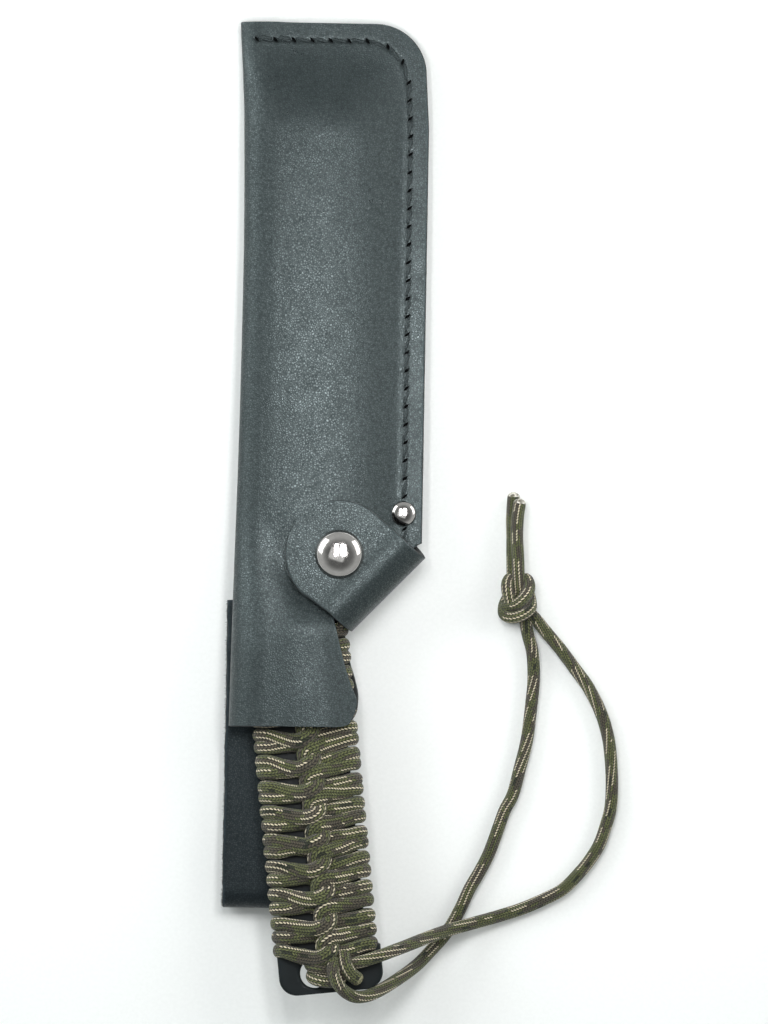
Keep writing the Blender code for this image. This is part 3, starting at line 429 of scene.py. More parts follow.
def braid_material(name, offset):
    """Braided nylon: slanted picks in rows, camouflage sections and dashed tracer yarns.
    The cord's own map gives turns round it and millimetres along it."""
    g = Nodes(name, Specular_IOR_Level=0.35, Sheen_Weight=0.15)
    split = g.tree.nodes.new("ShaderNodeSeparateXYZ")
    g.link(g.add("UVMap", {"uv_map": "cord"}), split.inputs[0])
    around = g.times(split.outputs[0], float(WALES))
    along = split.outputs[1]
    wale = g.math("FLOOR", around)
    across = g.math("FRACT", around)
    wale = g.math("FLOORED_MODULO", wale, float(WALES))
    odd = g.math("MODULO", wale, 2.0)
    lean = g.times(g.minus(g.times(odd, 2.0), 1.0), across)
    pick = g.plus(g.times(along, 1 / PICK), g.times(lean, 0.8))
    pick = g.plus(pick, g.times(odd, 0.3))
    stitch = g.math("FLOOR", pick)
    inside = g.minus(g.times(g.math("FRACT", pick), 2.0), 1.0)
    side = g.minus(g.times(across, 2.0), 1.0)
    bulge = g.times(g.minus(1.0, g.math("POWER", g.math("ABSOLUTE", inside), 2.0)),
                    g.minus(1.0, g.math("POWER", g.math("ABSOLUTE", side), 2.4)))

    def field(around_scale, along_scale, shift):
        node = g.tree.nodes.new("ShaderNodeCombineXYZ")
        g.link(g.times(wale, around_scale), node.inputs[0])
        g.link(g.times(stitch, along_scale * PICK), node.inputs[1])
        node.inputs[2].default_value = shift + offset
        return g.add("TexNoise", None, 0, Vector=node.outputs[0], Scale=1.0, Detail=1.0)

    def cell(shift):
        node = g.tree.nodes.new("ShaderNodeCombineXYZ")
        g.link(wale, node.inputs[0])
        g.link(stitch, node.inputs[1])
        node.inputs[2].default_value = shift + offset
        return g.add("TexWhiteNoise", {"noise_dimensions": "3D"}, 0, Vector=node.outputs[0])

    base = g.mix(g.span(cell(1.0), 0.1, 1.0), tuple(0.72 * c for c in OLIVE), OLIVE)
    brown = g.math("GREATER_THAN", field(0.42, 0.11, 3.0), 0.53)
    base = g.mix(brown, base, BROWN)
    dark = g.math("GREATER_THAN", field(0.50, 0.10, 7.0), 0.66)
    base = g.mix(dark, base, OLIVE_DARK)
    band = g.times(odd, g.math("COMPARE", g.math("FLOORED_MODULO", wale, 8.0), 3.0, 2.2))
    section = g.math("GREATER_THAN", field(0.16, 0.13, 11.0), 0.47)
    dash = g.span(bulge, 0.40, 0.68)
    tracer = g.times(g.times(band, section), dash)
    base = g.mix(tracer, base, CREAM)
    # painted shade and painted highlight: the colour is multiplied down in the gaps between picks and up
    # on their crowns
    shaded = g.tree.nodes.new("ShaderNodeMix")
    shaded.data_type = "RGBA"
    shaded.blend_type = "MULTIPLY"
    shaded.inputs[0].default_value = 1.0
    g.link(base, shaded.inputs[6])
    tone = g.span(bulge, 0.0, 0.85, 0.08, 1.25)
    pick_shade_and_highlight = g.tree.nodes.new("ShaderNodeCombineColor")
    for socket in pick_shade_and_highlight.inputs[:3]:
        g.link(tone, socket)
    g.link(pick_shade_and_highlight.outputs[0], shaded.inputs[7])
    g.colour(shaded.outputs[2])
    g.rough(g.span(cell(5.0), 0.0, 1.0, 0.62, 0.82))
    g.bump((bulge, 0.00030))
    return g.material


def cord_end_material(name, low, high, grain, smooth):
    """A cord's end: nylon melted into lumps, or a brush of cut yarns."""
    g = Nodes(name, Specular_IOR_Level=0.5)
    place = g.place()
    lumps = g.noise(place, grain, 3.0, 0.6)
    g.colour(g.mix(g.span(lumps, 0.38, 0.62), low, high))
    g.rough(g.span(lumps, 0.3, 0.7, smooth, smooth + 0.3))
    g.bump((lumps, 0.0003))
    return g.material


def nickel_material(name, tone=(0.60, 0.575, 0.56)):
    """Polished dark nickel with faint buffing scratches."""
    g = Nodes(name, Metallic=1.0)
    place = g.place()
    haze = g.noise(place, 320.0, 3.0, 0.6)
    scratch = g.noise(g.scaled(place, (0.25, 1.0, 1.0)), 6000.0, 2.0, 0.6)
    g.colour(g.mix(g.span(haze, 0.35, 0.65), tuple(c * 0.90 for c in tone), tone))
    g.rough(g.plus(g.span(haze, 0.3, 0.7, 0.07, 0.14), g.span(scratch, 0.5, 0.8, 0.0, 0.06)))
    g.bump((scratch, 0.0000012))
    return g.material


def coated_steel_material(name):
    """Blue-black powder coat with fine orange peel."""
    g = Nodes(name, Specular_IOR_Level=0.22)
    place = g.place()
    peel = g.noise(place, 2300.0, 2.0, 0.5)
    broad = g.noise(place, 60.0, 3.0, 0.6)
    g.colour(g.mix(g.span(broad, 0.3, 0.7), (0.006, 0.009, 0.010), (0.010, 0.014, 0.016)))
    g.rough(g.span(broad, 0.3, 0.7, 0.36, 0.48))
    g.bump((peel, 0.000018))
    return g.material


def thread_material(name):
    """Black waxed thread of twisted fibres."""
    g = Nodes(name, Specular_IOR_Level=0.45, Specular_Tint=(0.80, 0.97, 1.0, 1.0))
    place = g.place()
    fibre = g.noise(place, 4200.0, 2.0, 0.6)
    g.colour(g.mix(g.span(fibre, 0.3, 0.7), (0.003, 0.004, 0.004), (0.040, 0.048, 0.050)))
    g.rough(g.span(fibre, 0.3, 0.7, 0.38, 0.62))
    g.bump((fibre, 0.00004))
    return g.material


def slit_shade_material(name):
    """Painted shade: near-black colour for the torn, unlit inside of an awl hole."""
    g = Nodes(name, Specular_IOR_Level=0.03)
    fibre = g.noise(g.place(), 3000.0, 2.0, 0.6)
    g.colour(g.mix(g.span(fibre, 0.3, 0.7), (0.0008, 0.0010, 0.0012), (0.004, 0.005, 0.005)))
    g.rough(g.span(fibre, 0.3, 0.7, 0.85, 1.0))
    g.bump((fibre, 0.00004))
    return g.material


def floor_material(name):
    g = Nodes(name, Specular_IOR_Level=0.2)
    place = g.add("TexCoord", None, 3)
    fibre = g.noise(place, 900.0, 3.0, 0.6)
    g.colour(g.mix(g.span(fibre, 0.3, 0.7), (0.90, 0.915, 0.91), (0.93, 0.945, 0.94)))
    g.rough(0.75)
    return g.material


HIDE = (0.0125, 0.0170, 0.0180)
LEATHER_SKIN = leather_material("sheath_leather", HIDE)
LOOP_SKIN = leather_material("loop_leather", (0.0085, 0.012, 0.015), 1500.0, 0.00002, 0.36, 0.36)
LEATHER_CUT = raw_edge_material("cut_leather", (0.050, 0.054, 0.056))
LEATHER_FLESH = flesh_material("flesh_side", (0.022, 0.024, 0.025))
WELT_CUT = raw_edge_material("welt_leather", (0.018, 0.019, 0.020))
THREAD = thread_material("waxed_thread")
SLIT_SHADE = slit_shade_material("slit_shadow")
NICKEL = nickel_material("nickel")
COATED = coated_steel_material("coated_steel")
WRAP_CORD = braid_material("wrap_braid", 0.0)
LANYARD_CORD = braid_material("lanyard_braid", 20.0)
MELTED = cord_end_material("melted_nylon", (0.10, 0.09, 0.06), (0.72, 0.69, 0.62), 1000.0, 0.35)
FRAYED = cord_end_material("frayed_nylon", (0.06, 0.06, 0.03), (0.36, 0.34, 0.20), 2600.0, 0.65)


# ---------------------------------------------------------------- meshes

def mesh_piece(name, verts, faces, materials, face_material=None, sharp=None, uv=None, edge=None,
               hole_shade=None):
    """A piece from points in the sheath frame."""
    mesh = bpy.data.meshes.new(name)
    points = to_row(verts)
    mesh.from_pydata(points.tolist(), [], [tuple(int(v) for v in f) for f in faces])
    mesh.shade_smooth()
    for material in materials:
        mesh.materials.append(material)
    if face_material is not None:
        mesh.polygons.foreach_set("material_index", np.asarray(face_material, np.int32))
    if sharp is not None:
        mesh.set_sharp_from_angle(angle=math.radians(sharp))
    rest = mesh.attributes.new("rest", "FLOAT_VECTOR", "POINT")
    rest.data.foreach_set("vector", points.astype(np.float32).ravel())
    for title, given in (("edge", edge), ("hole_shade", hole_shade)):
        layer = mesh.attributes.new(title, "FLOAT", "POINT")
        values = np.zeros(len(points)) if given is None else np.asarray(given)
        layer.data.foreach_set("value", values.astype(np.float32))
    if uv is not None:
        layer = mesh.uv_layers.new(name="cord")
        layer.data.foreach_set("uv", np.asarray(uv, np.float32).ravel())
    mesh.validate(clean_customdata=False)
    mesh.update()
    obj = bpy.data.objects.new(name, mesh)
    bpy.context.scene.collection.objects.link(obj)
    return obj


def outward(obj):
    """Turns a closed mesh's faces outwards."""
    work = bmesh.new()
    work.from_mesh(obj.data)
    bmesh.ops.recalc_face_normals(work, faces=work.faces)
    work.to_mesh(obj.data)
    work.free()
    return obj


def grid_faces(rows, columns, start=0, flip=False):
    j, i = np.meshgrid(np.arange(rows - 1), np.arange(columns - 1), indexing="ij")
    a = (start + j * columns + i).ravel()
    quads = np.stack([a, a + 1, a + columns + 1, a + columns], 1)
    return quads[:, ::-1] if flip else quads


def border(rows, columns):
    loop = [(j, 0) for j in range(rows)] + [(rows - 1, i) for i in range(1, columns)]
    loop += [(j, columns - 1) for j in range(rows - 2, -1, -1)]
    loop += [(0, i) for i in range(columns - 2, 0, -1)]
    return np.array(loop)


def edge_closeness(grid, reach):
    """1 at a grid's border and 0 from a given distance in."""
    rows, columns = grid.shape[:2]
    down = np.linalg.norm(np.diff(grid, axis=0), axis=2)
    along = np.linalg.norm(np.diff(grid, axis=1), axis=2)
    from_top = np.vstack([np.zeros((1, columns)), np.cumsum(down, 0)])
    from_left = np.hstack([np.zeros((rows, 1)), np.cumsum(along, 1)])
    near = np.minimum.reduce([from_top, from_top[-1:] - from_top,
                              from_left, from_left[:, -1:] - from_left])
    return np.clip(1 - near / reach, 0, 1)


def shell(name, outer, inner, materials, round_out=0.0003, worn=0.0012, hole_shade=None):
    """A sheet of leather between two grids of points, with softly rounded cut edges."""
    rows, columns = outer.shape[:2]
    loop = border(rows, columns)
    inside = np.clip(loop, 1, [rows - 2, columns - 2])
    top_edge, low_edge = outer[loop[:, 0], loop[:, 1]], inner[loop[:, 0], loop[:, 1]]
    away = top_edge - outer[inside[:, 0], inside[:, 1]]
    thick = low_edge - top_edge
    unit = thick / np.linalg.norm(thick, axis=1, keepdims=True)
    away -= unit * np.sum(away * unit, 1, keepdims=True)
    away /= np.maximum(np.linalg.norm(away, axis=1, keepdims=True), 1e-9)
    shares = (0.04, 0.14, 0.32, 0.5, 0.68, 0.86, 0.96)
    rings = [top_edge + thick * s + away * round_out * math.sin(math.pi * s) ** 0.6 for s in shares]
    count = len(loop)
    verts = np.vstack([outer.reshape(-1, 3), inner.reshape(-1, 3), *rings])
    half = rows * columns
    top_ids = loop[:, 0] * columns + loop[:, 1]
    strips = [top_ids, *[2 * half + k * count + np.arange(count) for k in range(len(shares))],
              half + top_ids]
    faces = [grid_faces(rows, columns), grid_faces(rows, columns, half, True)]
    kinds = [np.zeros(len(faces[0]), int), np.ones(len(faces[1]), int)]
    for high, low in zip(strips, strips[1:]):
        faces.append(np.stack([high, np.roll(high, -1), np.roll(low, -1), low], 1))
        kinds.append(np.full(count, 2))
    close = edge_closeness(outer, worn).ravel()
    edge = np.concatenate([close, close * 0, np.ones(count * len(shares))])
    hole_shades = None
    if hole_shade is not None:
        hole_shades = np.concatenate([hole_shade, np.zeros(len(verts) - len(hole_shade))])
    return outward(mesh_piece(name, verts, np.vstack(faces), materials, np.concatenate(kinds),
                              edge=edge, hole_shade=hole_shades))


def lathe(name, profile, centre, material, sides=72, sharp=30):
    """A turned piece from (radius, height) points, closed on its axis."""
    verts, rings = [], []
    for radius, height in profile:
        count = 1 if radius == 0 else sides
        rings.append(list(range(len(verts), len(verts) + count)))
        for k in range(count):
            angle = 2 * math.pi * k / sides
            verts.append((centre[0] + radius * math.cos(angle),
                          centre[1] + radius * math.sin(angle), height))
    faces = []
    for low, high in zip(rings, rings[1:]):
        for k in range(sides):
            n = (k + 1) % sides
            ring = [low[k % len(low)], low[n % len(low)], high[n % len(high)], high[k % len(high)]]
            corners = list(dict.fromkeys(ring))
            if len(corners) > 2:
                faces.append(corners)
    return outward(mesh_piece(name, verts, faces, [material], sharp=sharp))


def cap_rings(kind, at, centre, heading, radius, place):
    """The rings that round off a cord's end: 0 is open, 1 is plain and 2 is a melted end."""
    if not kind:
        return []
    angles, length = ((15, 35, 55, 75), 0.55) if kind == 1 else ((20, 45, 68, 84), 0.75)
    rings = []
    for angle in np.radians(angles):
        reach = radius * length * math.sin(angle) * (1 if at else -1)
        rings.append((at, centre + heading * reach, math.cos(angle), place + reach))
    return rings


def tube(name, path, radii, materials, sides=20, up=None, twist=None, start_mm=0.0, caps=(1, 1)):
    """A cord along a path. radii is one number or (half width, half height) per point, and up
    is which way the flat side faces."""
    path = np.asarray(path, float)
    count = len(path)
    radii = np.broadcast_to(np.asarray(radii, float).reshape(-1, 1) if np.ndim(radii) < 2
                            else np.asarray(radii, float), (count, 2)).copy()
    tangent = np.gradient(path, axis=0)
    tangent /= np.linalg.norm(tangent, axis=1, keepdims=True)
    if up is None:
        up = np.zeros((count, 3))
        normal = np.cross(tangent[0], (0.3, 0.2, 0.9))
        for k in range(count):
            normal = normal - tangent[k] * normal.dot(tangent[k])
            normal /= np.linalg.norm(normal)
            up[k] = normal
    else:
        up = np.array(up, float)
        up -= tangent * np.sum(up * tangent, 1, keepdims=True)
        up /= np.linalg.norm(up, axis=1, keepdims=True)
    side = np.cross(tangent, up)
    along = np.concatenate([[0], np.cumsum(np.linalg.norm(np.diff(path, axis=0), axis=1))])
    twist = np.zeros(count) if twist is None else np.asarray(twist, float)
    rings = [(k, path[k], 1.0, along[k]) for k in range(count)]
    first, last = (cap_rings(caps[end], at, path[at], tangent[at], radii[at].mean(), along[at])
                   for end, at in ((0, 0), (1, count - 1)))
    rings = first[::-1] + rings + last
    at = np.array([ring[0] for ring in rings])
    centres = np.array([ring[1] for ring in rings])
    sizes = radii[at] * np.array([ring[2] for ring in rings])[:, None]
    places = np.array([ring[3] for ring in rings])
    ups, sides_v, turns = up[at], side[at], twist[at]
    angle = 2 * np.pi * np.arange(sides) / sides
    ring = (centres[:, None] + sides_v[:, None] * (sizes[:, None, :1] * np.cos(angle)[None, :, None])
            + ups[:, None] * (sizes[:, None, 1:] * np.sin(angle)[None, :, None]))
    rows = len(centres)
    verts = np.vstack([ring.reshape(-1, 3), centres[:1], centres[-1:]])
    j, k = np.meshgrid(np.arange(rows - 1), np.arange(sides), indexing="ij")
    j, k = j.ravel(), k.ravel()
    n = (k + 1) % sides
    quads = np.stack([j * sides + k, j * sides + n, (j + 1) * sides + n, (j + 1) * sides + k], 1)
    millimetres = places * 1000 + start_mm
    share = np.stack([k, k + 1, k + 1, k], 1) / sides
    row_of = np.stack([j, j, j + 1, j + 1], 1)
    uv = np.stack([share + turns[row_of], millimetres[row_of]], 2).reshape(-1, 2)
    faces = [tuple(q) for q in quads.tolist()]
    end_uv = []
    for hub, base, order in ((rows * sides, 0, -1), (rows * sides + 1, (rows - 1) * sides, 1)):
        for k2 in range(sides):
            a, b = base + k2, base + (k2 + 1) % sides
            faces.append((hub, b, a) if order < 0 else (hub, a, b))
            end_uv += [(0.5, 0.0)] * 3
    kinds = np.zeros(len(faces), int)
    if len(materials) > 1:
        if caps[0] == 2:
            kinds[:len(first) * sides] = 1
            kinds[len(quads):len(quads) + sides] = 1
        if caps[1] == 2:
            kinds[len(quads) - len(last) * sides:len(quads)] = 1
            kinds[len(quads) + sides:] = 1
    return mesh_piece(name, verts, faces, materials, kinds, uv=np.vstack([uv, end_uv]))


def settle(piece, body, slot, *nodes):
    """Puts a piece on its body and hides the CAD nodes that it takes the place of. The slot argument is
    not used.
    """
    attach(piece, body)
    if nodes:
        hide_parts(*nodes)


# ---------------------------------------------------------------- camera, floor and light

CAMERA_DISTANCE = 2.20
VIEW_HEIGHT = 0.3251
NEAR_LAMP_Z = 0.36


def look_down():
    """The camera over the object, one degree off square to it."""
    camera = bpy.data.cameras.new("camera")
    camera.sensor_fit = "VERTICAL"
    camera.sensor_height = 36.0
    camera.lens = 36.0 * CAMERA_DISTANCE / VIEW_HEIGHT
    camera.clip_end = 20.0
    obj = bpy.data.objects.new("camera", camera)
    bpy.context.scene.collection.objects.link(obj)
    middle = to_row([(0.0171, 0.0003, 0.0)])[0]
    obj.location = (middle[0], middle[1], CAMERA_DISTANCE + 0.010)
    obj.rotation_euler = (0, 0, math.radians(1.0))
    bpy.context.scene.camera = obj


def floor_and_light():
    mesh = bpy.data.meshes.new("floor")
    work = bmesh.new()
    bmesh.ops.create_grid(work, x_segments=24, y_segments=24, size=1.6)
    work.to_mesh(mesh)
    work.free()
    floor = bpy.data.objects.new("floor", mesh)
    mesh.materials.append(floor_material("paper"))
    bpy.context.scene.collection.objects.link(floor)
    floor.location = (0.02, 0.0, 0.0)

    world = bpy.data.worlds.new("studio")
    bpy.context.scene.world = world
    world.use_nodes = True
    background = world.node_tree.nodes["Background"]
    # bright low down and dim overhead
    tree = world.node_tree
    split = tree.nodes.new("ShaderNodeSeparateXYZ")
    tree.links.new(tree.nodes.new("ShaderNodeTexCoord").outputs["Generated"], split.inputs[0])
    dim = tree.nodes.new("ShaderNodeMapRange")
    dim.interpolation_type = "SMOOTHSTEP"
    tree.links.new(split.outputs[2], dim.inputs[0])
    for socket, value in zip(dim.inputs[1:], (0.62, 0.97, 0.55, 0.12)):
        socket.default_value = value
    tree.links.new(dim.outputs[0], background.inputs["Strength"])
    background.inputs["Color"].default_value = (0.96, 1.0, 0.985, 1.0)
    bpy.context.scene.view_settings.view_transform = "Standard"

    def softbox(name, place, aim, size, power, tint=(1, 1, 1)):
        lamp = bpy.data.lights.new(name, "AREA")
        lamp.shape = "RECTANGLE"
        lamp.size, lamp.size_y = size
        lamp.energy = power
        lamp.color = tint
        obj = bpy.data.objects.new(name, lamp)
        bpy.context.scene.collection.objects.link(obj)
        obj.location = place
        obj.rotation_euler = (Vector(aim) - Vector(place)).to_track_quat("-Z", "Y").to_euler()
        obj.visible_camera = False

    # two lamps close over the sheath, one overhead, and big soft ones to its sides
    spot = to_row([(-0.0050, 0.0380, 0.0120)])[0]
    for name, shift, width, power in (("left", -0.030, 0.036, 0.32), ("right", 0.058, 0.060, 0.50)):
        place = (spot[0] + shift, spot[1] + 0.026, NEAR_LAMP_Z)
        softbox("tube_" + name, place, (place[0], spot[1], 0.0), (width, 0.15), power)
    for name, place, aim, size, power, tint in (
        ("overhead", (-0.12, 0.05, 1.40), (-0.02, 0.02, 0.0), (0.6, 0.8), 1.0, (0.97, 1.0, 0.99)),
        ("left_window", (-1.0, 0.55, 0.60), (0.0, 0.0, 0.0), (0.9, 0.8), 9.5, (0.96, 1.0, 1.0)),
        ("right_fill", (1.1, 0.50, 0.65), (0.0, 0.0, 0.0), (0.9, 0.7), 7.5, (1.0, 1.0, 0.98)),
    ):
        softbox(name, place, aim, size, power, tint)


look_down()
floor_and_light()


# ---------------------------------------------------------------- lanyard

def knot_routes():
    """The two strands through the doubled overhand knot, from strand end to tail start."""
    cx, cy = KNOT_CENTRE
    upper = [(5.7, -5.8, 3.5), (3.4, -3.8, 3.0), (0.4, -2.8, 2.4), (-2.4, -2.8, 2.3),
             (-3.7, -2.2, 4.2), (-2.4, -1.9, 6.4), (-0.4, -1.4, 7.8), (1.6, 0.3, 8.4),
             (3.1, 2.6, 7.4), (3.4, 5.0, 5.6), (2.3, 6.8, 3.4), (-0.4, 5.6, 2.3),
             (-2.4, 3.0, 2.3), (-1.4, 0.6, 3.2), (0.2, 2.4, 4.5), (0.1, 5.8, 5.3),
             (-0.1, 9.8, 6.6)]
    lower = [(3.0, -8.9, 3.1), (2.3, -6.2, 3.0), (0.6, -4.2, 3.4), (-1.2, -2.4, 5.2),
             (-2.5, 0.0, 6.7), (-3.3, 2.8, 6.8), (-3.4, 5.4, 5.4), (-2.1, 7.0, 3.2),
             (0.8, 5.6, 2.4), (3.1, 2.6, 2.4), (4.0, -0.4, 3.4), (3.8, -2.6, 6.0),
             (1.4, -4.6, 7.6), (-1.6, -5.5, 7.2), (-4.1, -4.5, 5.2), (-4.2, -1.6, 2.8),
             (-2.6, 2.0, 2.4), (-1.5, 5.6, 2.4), (-1.8, 9.8, 3.0)]
    return [[(cx + x / 1000, cy + y / 1000, z / 1000) for x, y, z in rows] for rows in (upper, lower)]


KNOT_UPPER, KNOT_LOWER = knot_routes()
for name, strand, knot, tail, start_mm, nodes in (
    ("lanyard_cord_upper", STRAND_UPPER, KNOT_UPPER, TAIL_RIGHT, 0.0,
     ("lanyard_strand_upper", "lanyard_tail_right", "lanyard_knot")),
    ("lanyard_cord_lower", STRAND_LOWER, KNOT_LOWER, TAIL_LEFT, 400.0,
     ("lanyard_strand_lower", "lanyard_tail_left")),
):
    path = evenly(smooth_route(on_table([*strand, *knot[1:-1], *tail]), 12), LANYARD_STEP)
    along = np.arange(len(path)) * LANYARD_STEP
    twist = 0.25 * np.sin(along / 0.023) + along / 0.13
    cord = tube(name, path, CORD_RADIUS, [LANYARD_CORD, MELTED], 24, None, twist, start_mm, (1, 2))
    settle(cord, "knife", "paracord", *nodes)


# ---------------------------------------------------------------- cord wrap on the tang

GAP_PLACES = (-0.0265, -0.0180, -0.0092, -0.0006, 0.0080, 0.0159, 0.0238, 0.0326, 0.0409, 0.0498,
              0.0590, 0.0682)
# One unit, in millimetres: s down the handle from the unit's middle, t across, height over the
# tang's middle. The right bight comes first, then the left one that hooks it.
RIGHT_BIGHT = [(-3.5, 11.0, 3.35), (-3.1, 8.0, 3.5), (-2.9, 5.2, 3.9), (-2.6, 2.6, 5.0),
               (-1.9, 0.6, 5.2), (-0.3, -0.8, 4.3), (1.3, -0.4, 3.5), (2.3, 1.2, 3.0),
               (2.6, 3.4, 3.0), (2.2, 6.4, 3.3), (1.4, 11.0, 3.35)]
LEFT_BIGHT = [(-3.45, -12.0, 3.35), (-3.8, -7.0, 3.2), (-3.75, -3.6, 2.9), (-3.2, -1.2, 2.7),
              (-2.1, 1.2, 2.9), (-0.2, 2.3, 3.9), (1.9, 1.9, 5.3), (3.3, -0.2, 5.9),
              (3.8, -3.2, 4.8), (2.95, -7.0, 3.7), (1.15, -12.0, 3.35)]
SIDE_HALF = 15.1
FLAT_HALF = 11.0
WRAP_LIFT = 3.35
SIDE_ANGLES = (28, 60, 90, 120, 152)
WRAP_HALF_WIDTH, WRAP_HALF_HEIGHT = 0.00222, 0.00176


def round_side(s_from, s_to, side):
    """Points of one pass round the back of the tang, from the front's edge to the other's."""
    def corner(s, side, angles):
        rows = []
        for angle in map(math.radians, angles):
            t = FLAT_HALF + (SIDE_HALF - FLAT_HALF) * math.sin(angle) ** 0.8
            rows.append((s, side * t, WRAP_LIFT * math.cos(angle)))
        return rows

    across = [(s_from + (s_to - s_from) * share, side * FLAT_HALF * (1 - 2 * share), -WRAP_LIFT)
              for share in (0.1, 0.3, 0.5, 0.7, 0.9)]
    return [*corner(s_from, side, SIDE_ANGLES), *across, *corner(s_to, -side, SIDE_ANGLES[::-1])]


def handle_wrap():
    """One cord round and round the tang, hooked through itself down the middle."""
    rng = np.random.default_rng(5)
    rows = round_side(GAP_PLACES[0] * 1000 - 6.6, GAP_PLACES[0] * 1000 - 4.2, -1)
    for k, place in enumerate(GAP_PLACES):
        middle = place * 1000
        wobble = rng.normal(0, 0.16, (2, 11, 3)) * (1, 1, 0.35)
        right = np.array(RIGHT_BIGHT) + (middle, 0, 0) + wobble[0]
        left = np.array(LEFT_BIGHT) + (middle, 0, 0) + wobble[1]
        if k:
            rows += round_side(rows[-1][0] - 0.3, right[0][0] - 0.5, -1)
        rows += right.tolist()
        rows += round_side(right[-1][0] - 0.5, left[0][0] - 0.4, 1)
        rows += left.tolist()
    rows += round_side(rows[-1][0] - 0.6, rows[-1][0] - 1.0, -1)[:11]
    rows = np.array(rows) / 1000
    rows = evenly(smooth_route(rows, 8), WRAP_STEP)
    rows = softened(rows, 6)
    xy = np.array([handle_point(s, t) for s, t, _ in rows])
    path = np.column_stack([xy, TANG_Z + rows[:, 2]])
    # the flat side of the cord faces away from the tang
    t, h = rows[:, 1], rows[:, 2]
    flat_t = np.sign(t) * np.clip(np.abs(t) - 0.0115, 0, None)
    lean = np.stack([flat_t, h * 1.1], 1)
    lean /= np.linalg.norm(lean, axis=1, keepdims=True)
    across = np.array([math.cos(HANDLE_CANT), math.sin(HANDLE_CANT), 0.0])
    up = lean[:, :1] * across + lean[:, 1:] * np.array([0, 0, 1.0])
    along = np.arange(len(path)) * WRAP_STEP
    waver = 0.00006 * np.sin(along / 0.017)
    half_width = WRAP_HALF_WIDTH + waver + 0.00036 * ease(0.012, 0.006, np.abs(t))
    radii = np.stack([half_width, np.full(len(path), WRAP_HALF_HEIGHT)], 1)
    twist = 0.22 * np.sin(along / 0.031) + 0.35 * np.sin(along / 0.083 + 1.0) + along / 0.42
    return tube("wrap_cord", path, radii, [WRAP_CORD], 20, up, twist)


wrap = handle_wrap()
settle(wrap, "knife", "paracord", "handle_wrap")

HITCH = [(-0.0042, -0.1380, 0.0152), (-0.0040, -0.1412, 0.0150), (-0.0037, -0.1432, 0.0162),
         (-0.0035, -0.1437, 0.0192), (-0.0029, -0.1440, 0.0222), (-0.0008, -0.1443, 0.0234),
         (0.0022, -0.1447, 0.0234), (0.0050, -0.1458, 0.0232), (0.0064, -0.1470, 0.0230),
         (0.0050, -0.1483, 0.0231), (0.0022, -0.1487, 0.0233), (-0.0006, -0.1484, 0.0231),
         (-0.0026, -0.1477, 0.0212), (-0.0029, -0.1468, 0.0182), (-0.0014, -0.1452, 0.0156),
         (0.0004, -0.1425, 0.0150), (0.0008, -0.1388, 0.0152)]
WRAP_END = [(0.0070, -0.1400, 0.0225), (0.0076, -0.1434, 0.0246), (0.0091, -0.1460, 0.0246),
            (0.0112, -0.1477, 0.0240)]
for name, route, node, caps, size in (
    ("hitch_cord", HITCH, "lanyard_hitch", (1, 1), 1.04),
    ("cut_cord_end", WRAP_END, "wrap_cord_end", (1, 2), 1.12),
):
    path = evenly(smooth_route(on_table(route), 12), WRAP_STEP)
    cord = tube(name, path, CORD_RADIUS * size, [LANYARD_CORD, FRAYED], 24, None, None, 700.0, caps)
    settle(cord, "knife", "paracord", node)


# ---------------------------------------------------------------- sheath

def seam_edge(y):
    straight = SEAM_X - SEAM_TAPER * max(0.0, y - SEAM_TAPER_Y)
    into_corner = max(0.0, y - (TIP_Y - TIP_CORNER))
    return straight - TIP_CORNER + math.sqrt(max(0.0, TIP_CORNER**2 - into_corner**2))


def line_x(a, b, y):
    return a[0] + (b[0] - a[0]) * (y - a[1]) / (b[1] - a[1])


FRONT_CUT = (strap_point(FRONT_CUT_U, -CUT_HALF), strap_point(FRONT_CUT_U + CUT_SKEW, CUT_HALF))
BACK_CUT = (strap_point(BEND_RADIUS + GAP, -0.0178), strap_point(BEND_RADIUS + GAP, 0.0160))


def panel_edge(y, cut, apron):
    """Right edge of a panel: the seam, a slanted cut at the strap, then the apron's curve."""
    start, end = cut
    foot = (apron[-1][1], apron[-1][0])
    if y > start[1] + CUT_STEP / 2:
        return seam_edge(y)
    if y > end[1]:
        return line_x(start, end, y)
    if y > foot[1]:
        return line_x(end, foot, y)
    return float(smooth_value(apron, y))


def mouth_corner(edge, y):
    low = APRON_EDGE[0][0]
    if y >= low:
        return edge
    t = (low - y) / (low - MOUTH_Y)
    return edge - (edge - MOUTH_CORNER_X) * (1 - math.sqrt(max(0.0, 1 - t * t)))


def front_height(x, y):
    over_blade = smooth_value(OVER_BLADE, x)
    over_blade = over_blade + (SEAM_HEIGHT - over_blade) * ease(*TIP_FALL, y)
    sin, cos = math.sin(HANDLE_CANT), math.cos(HANDLE_CANT)
    offset = (x - HANDLE_POINT[0]) * cos + (y - HANDLE_POINT[1]) * sin
    over_handle = smooth_value(OVER_HANDLE, offset)
    left = ease(-0.0080, -0.0250, x)
    start = HANDLE_RISE[0] + (LEFT_RISE[0] - HANDLE_RISE[0]) * left
    end = HANDLE_RISE[1] + (LEFT_RISE[1] - HANDLE_RISE[1]) * left
    return over_blade + (over_handle - over_blade) * ease(start, end, y)


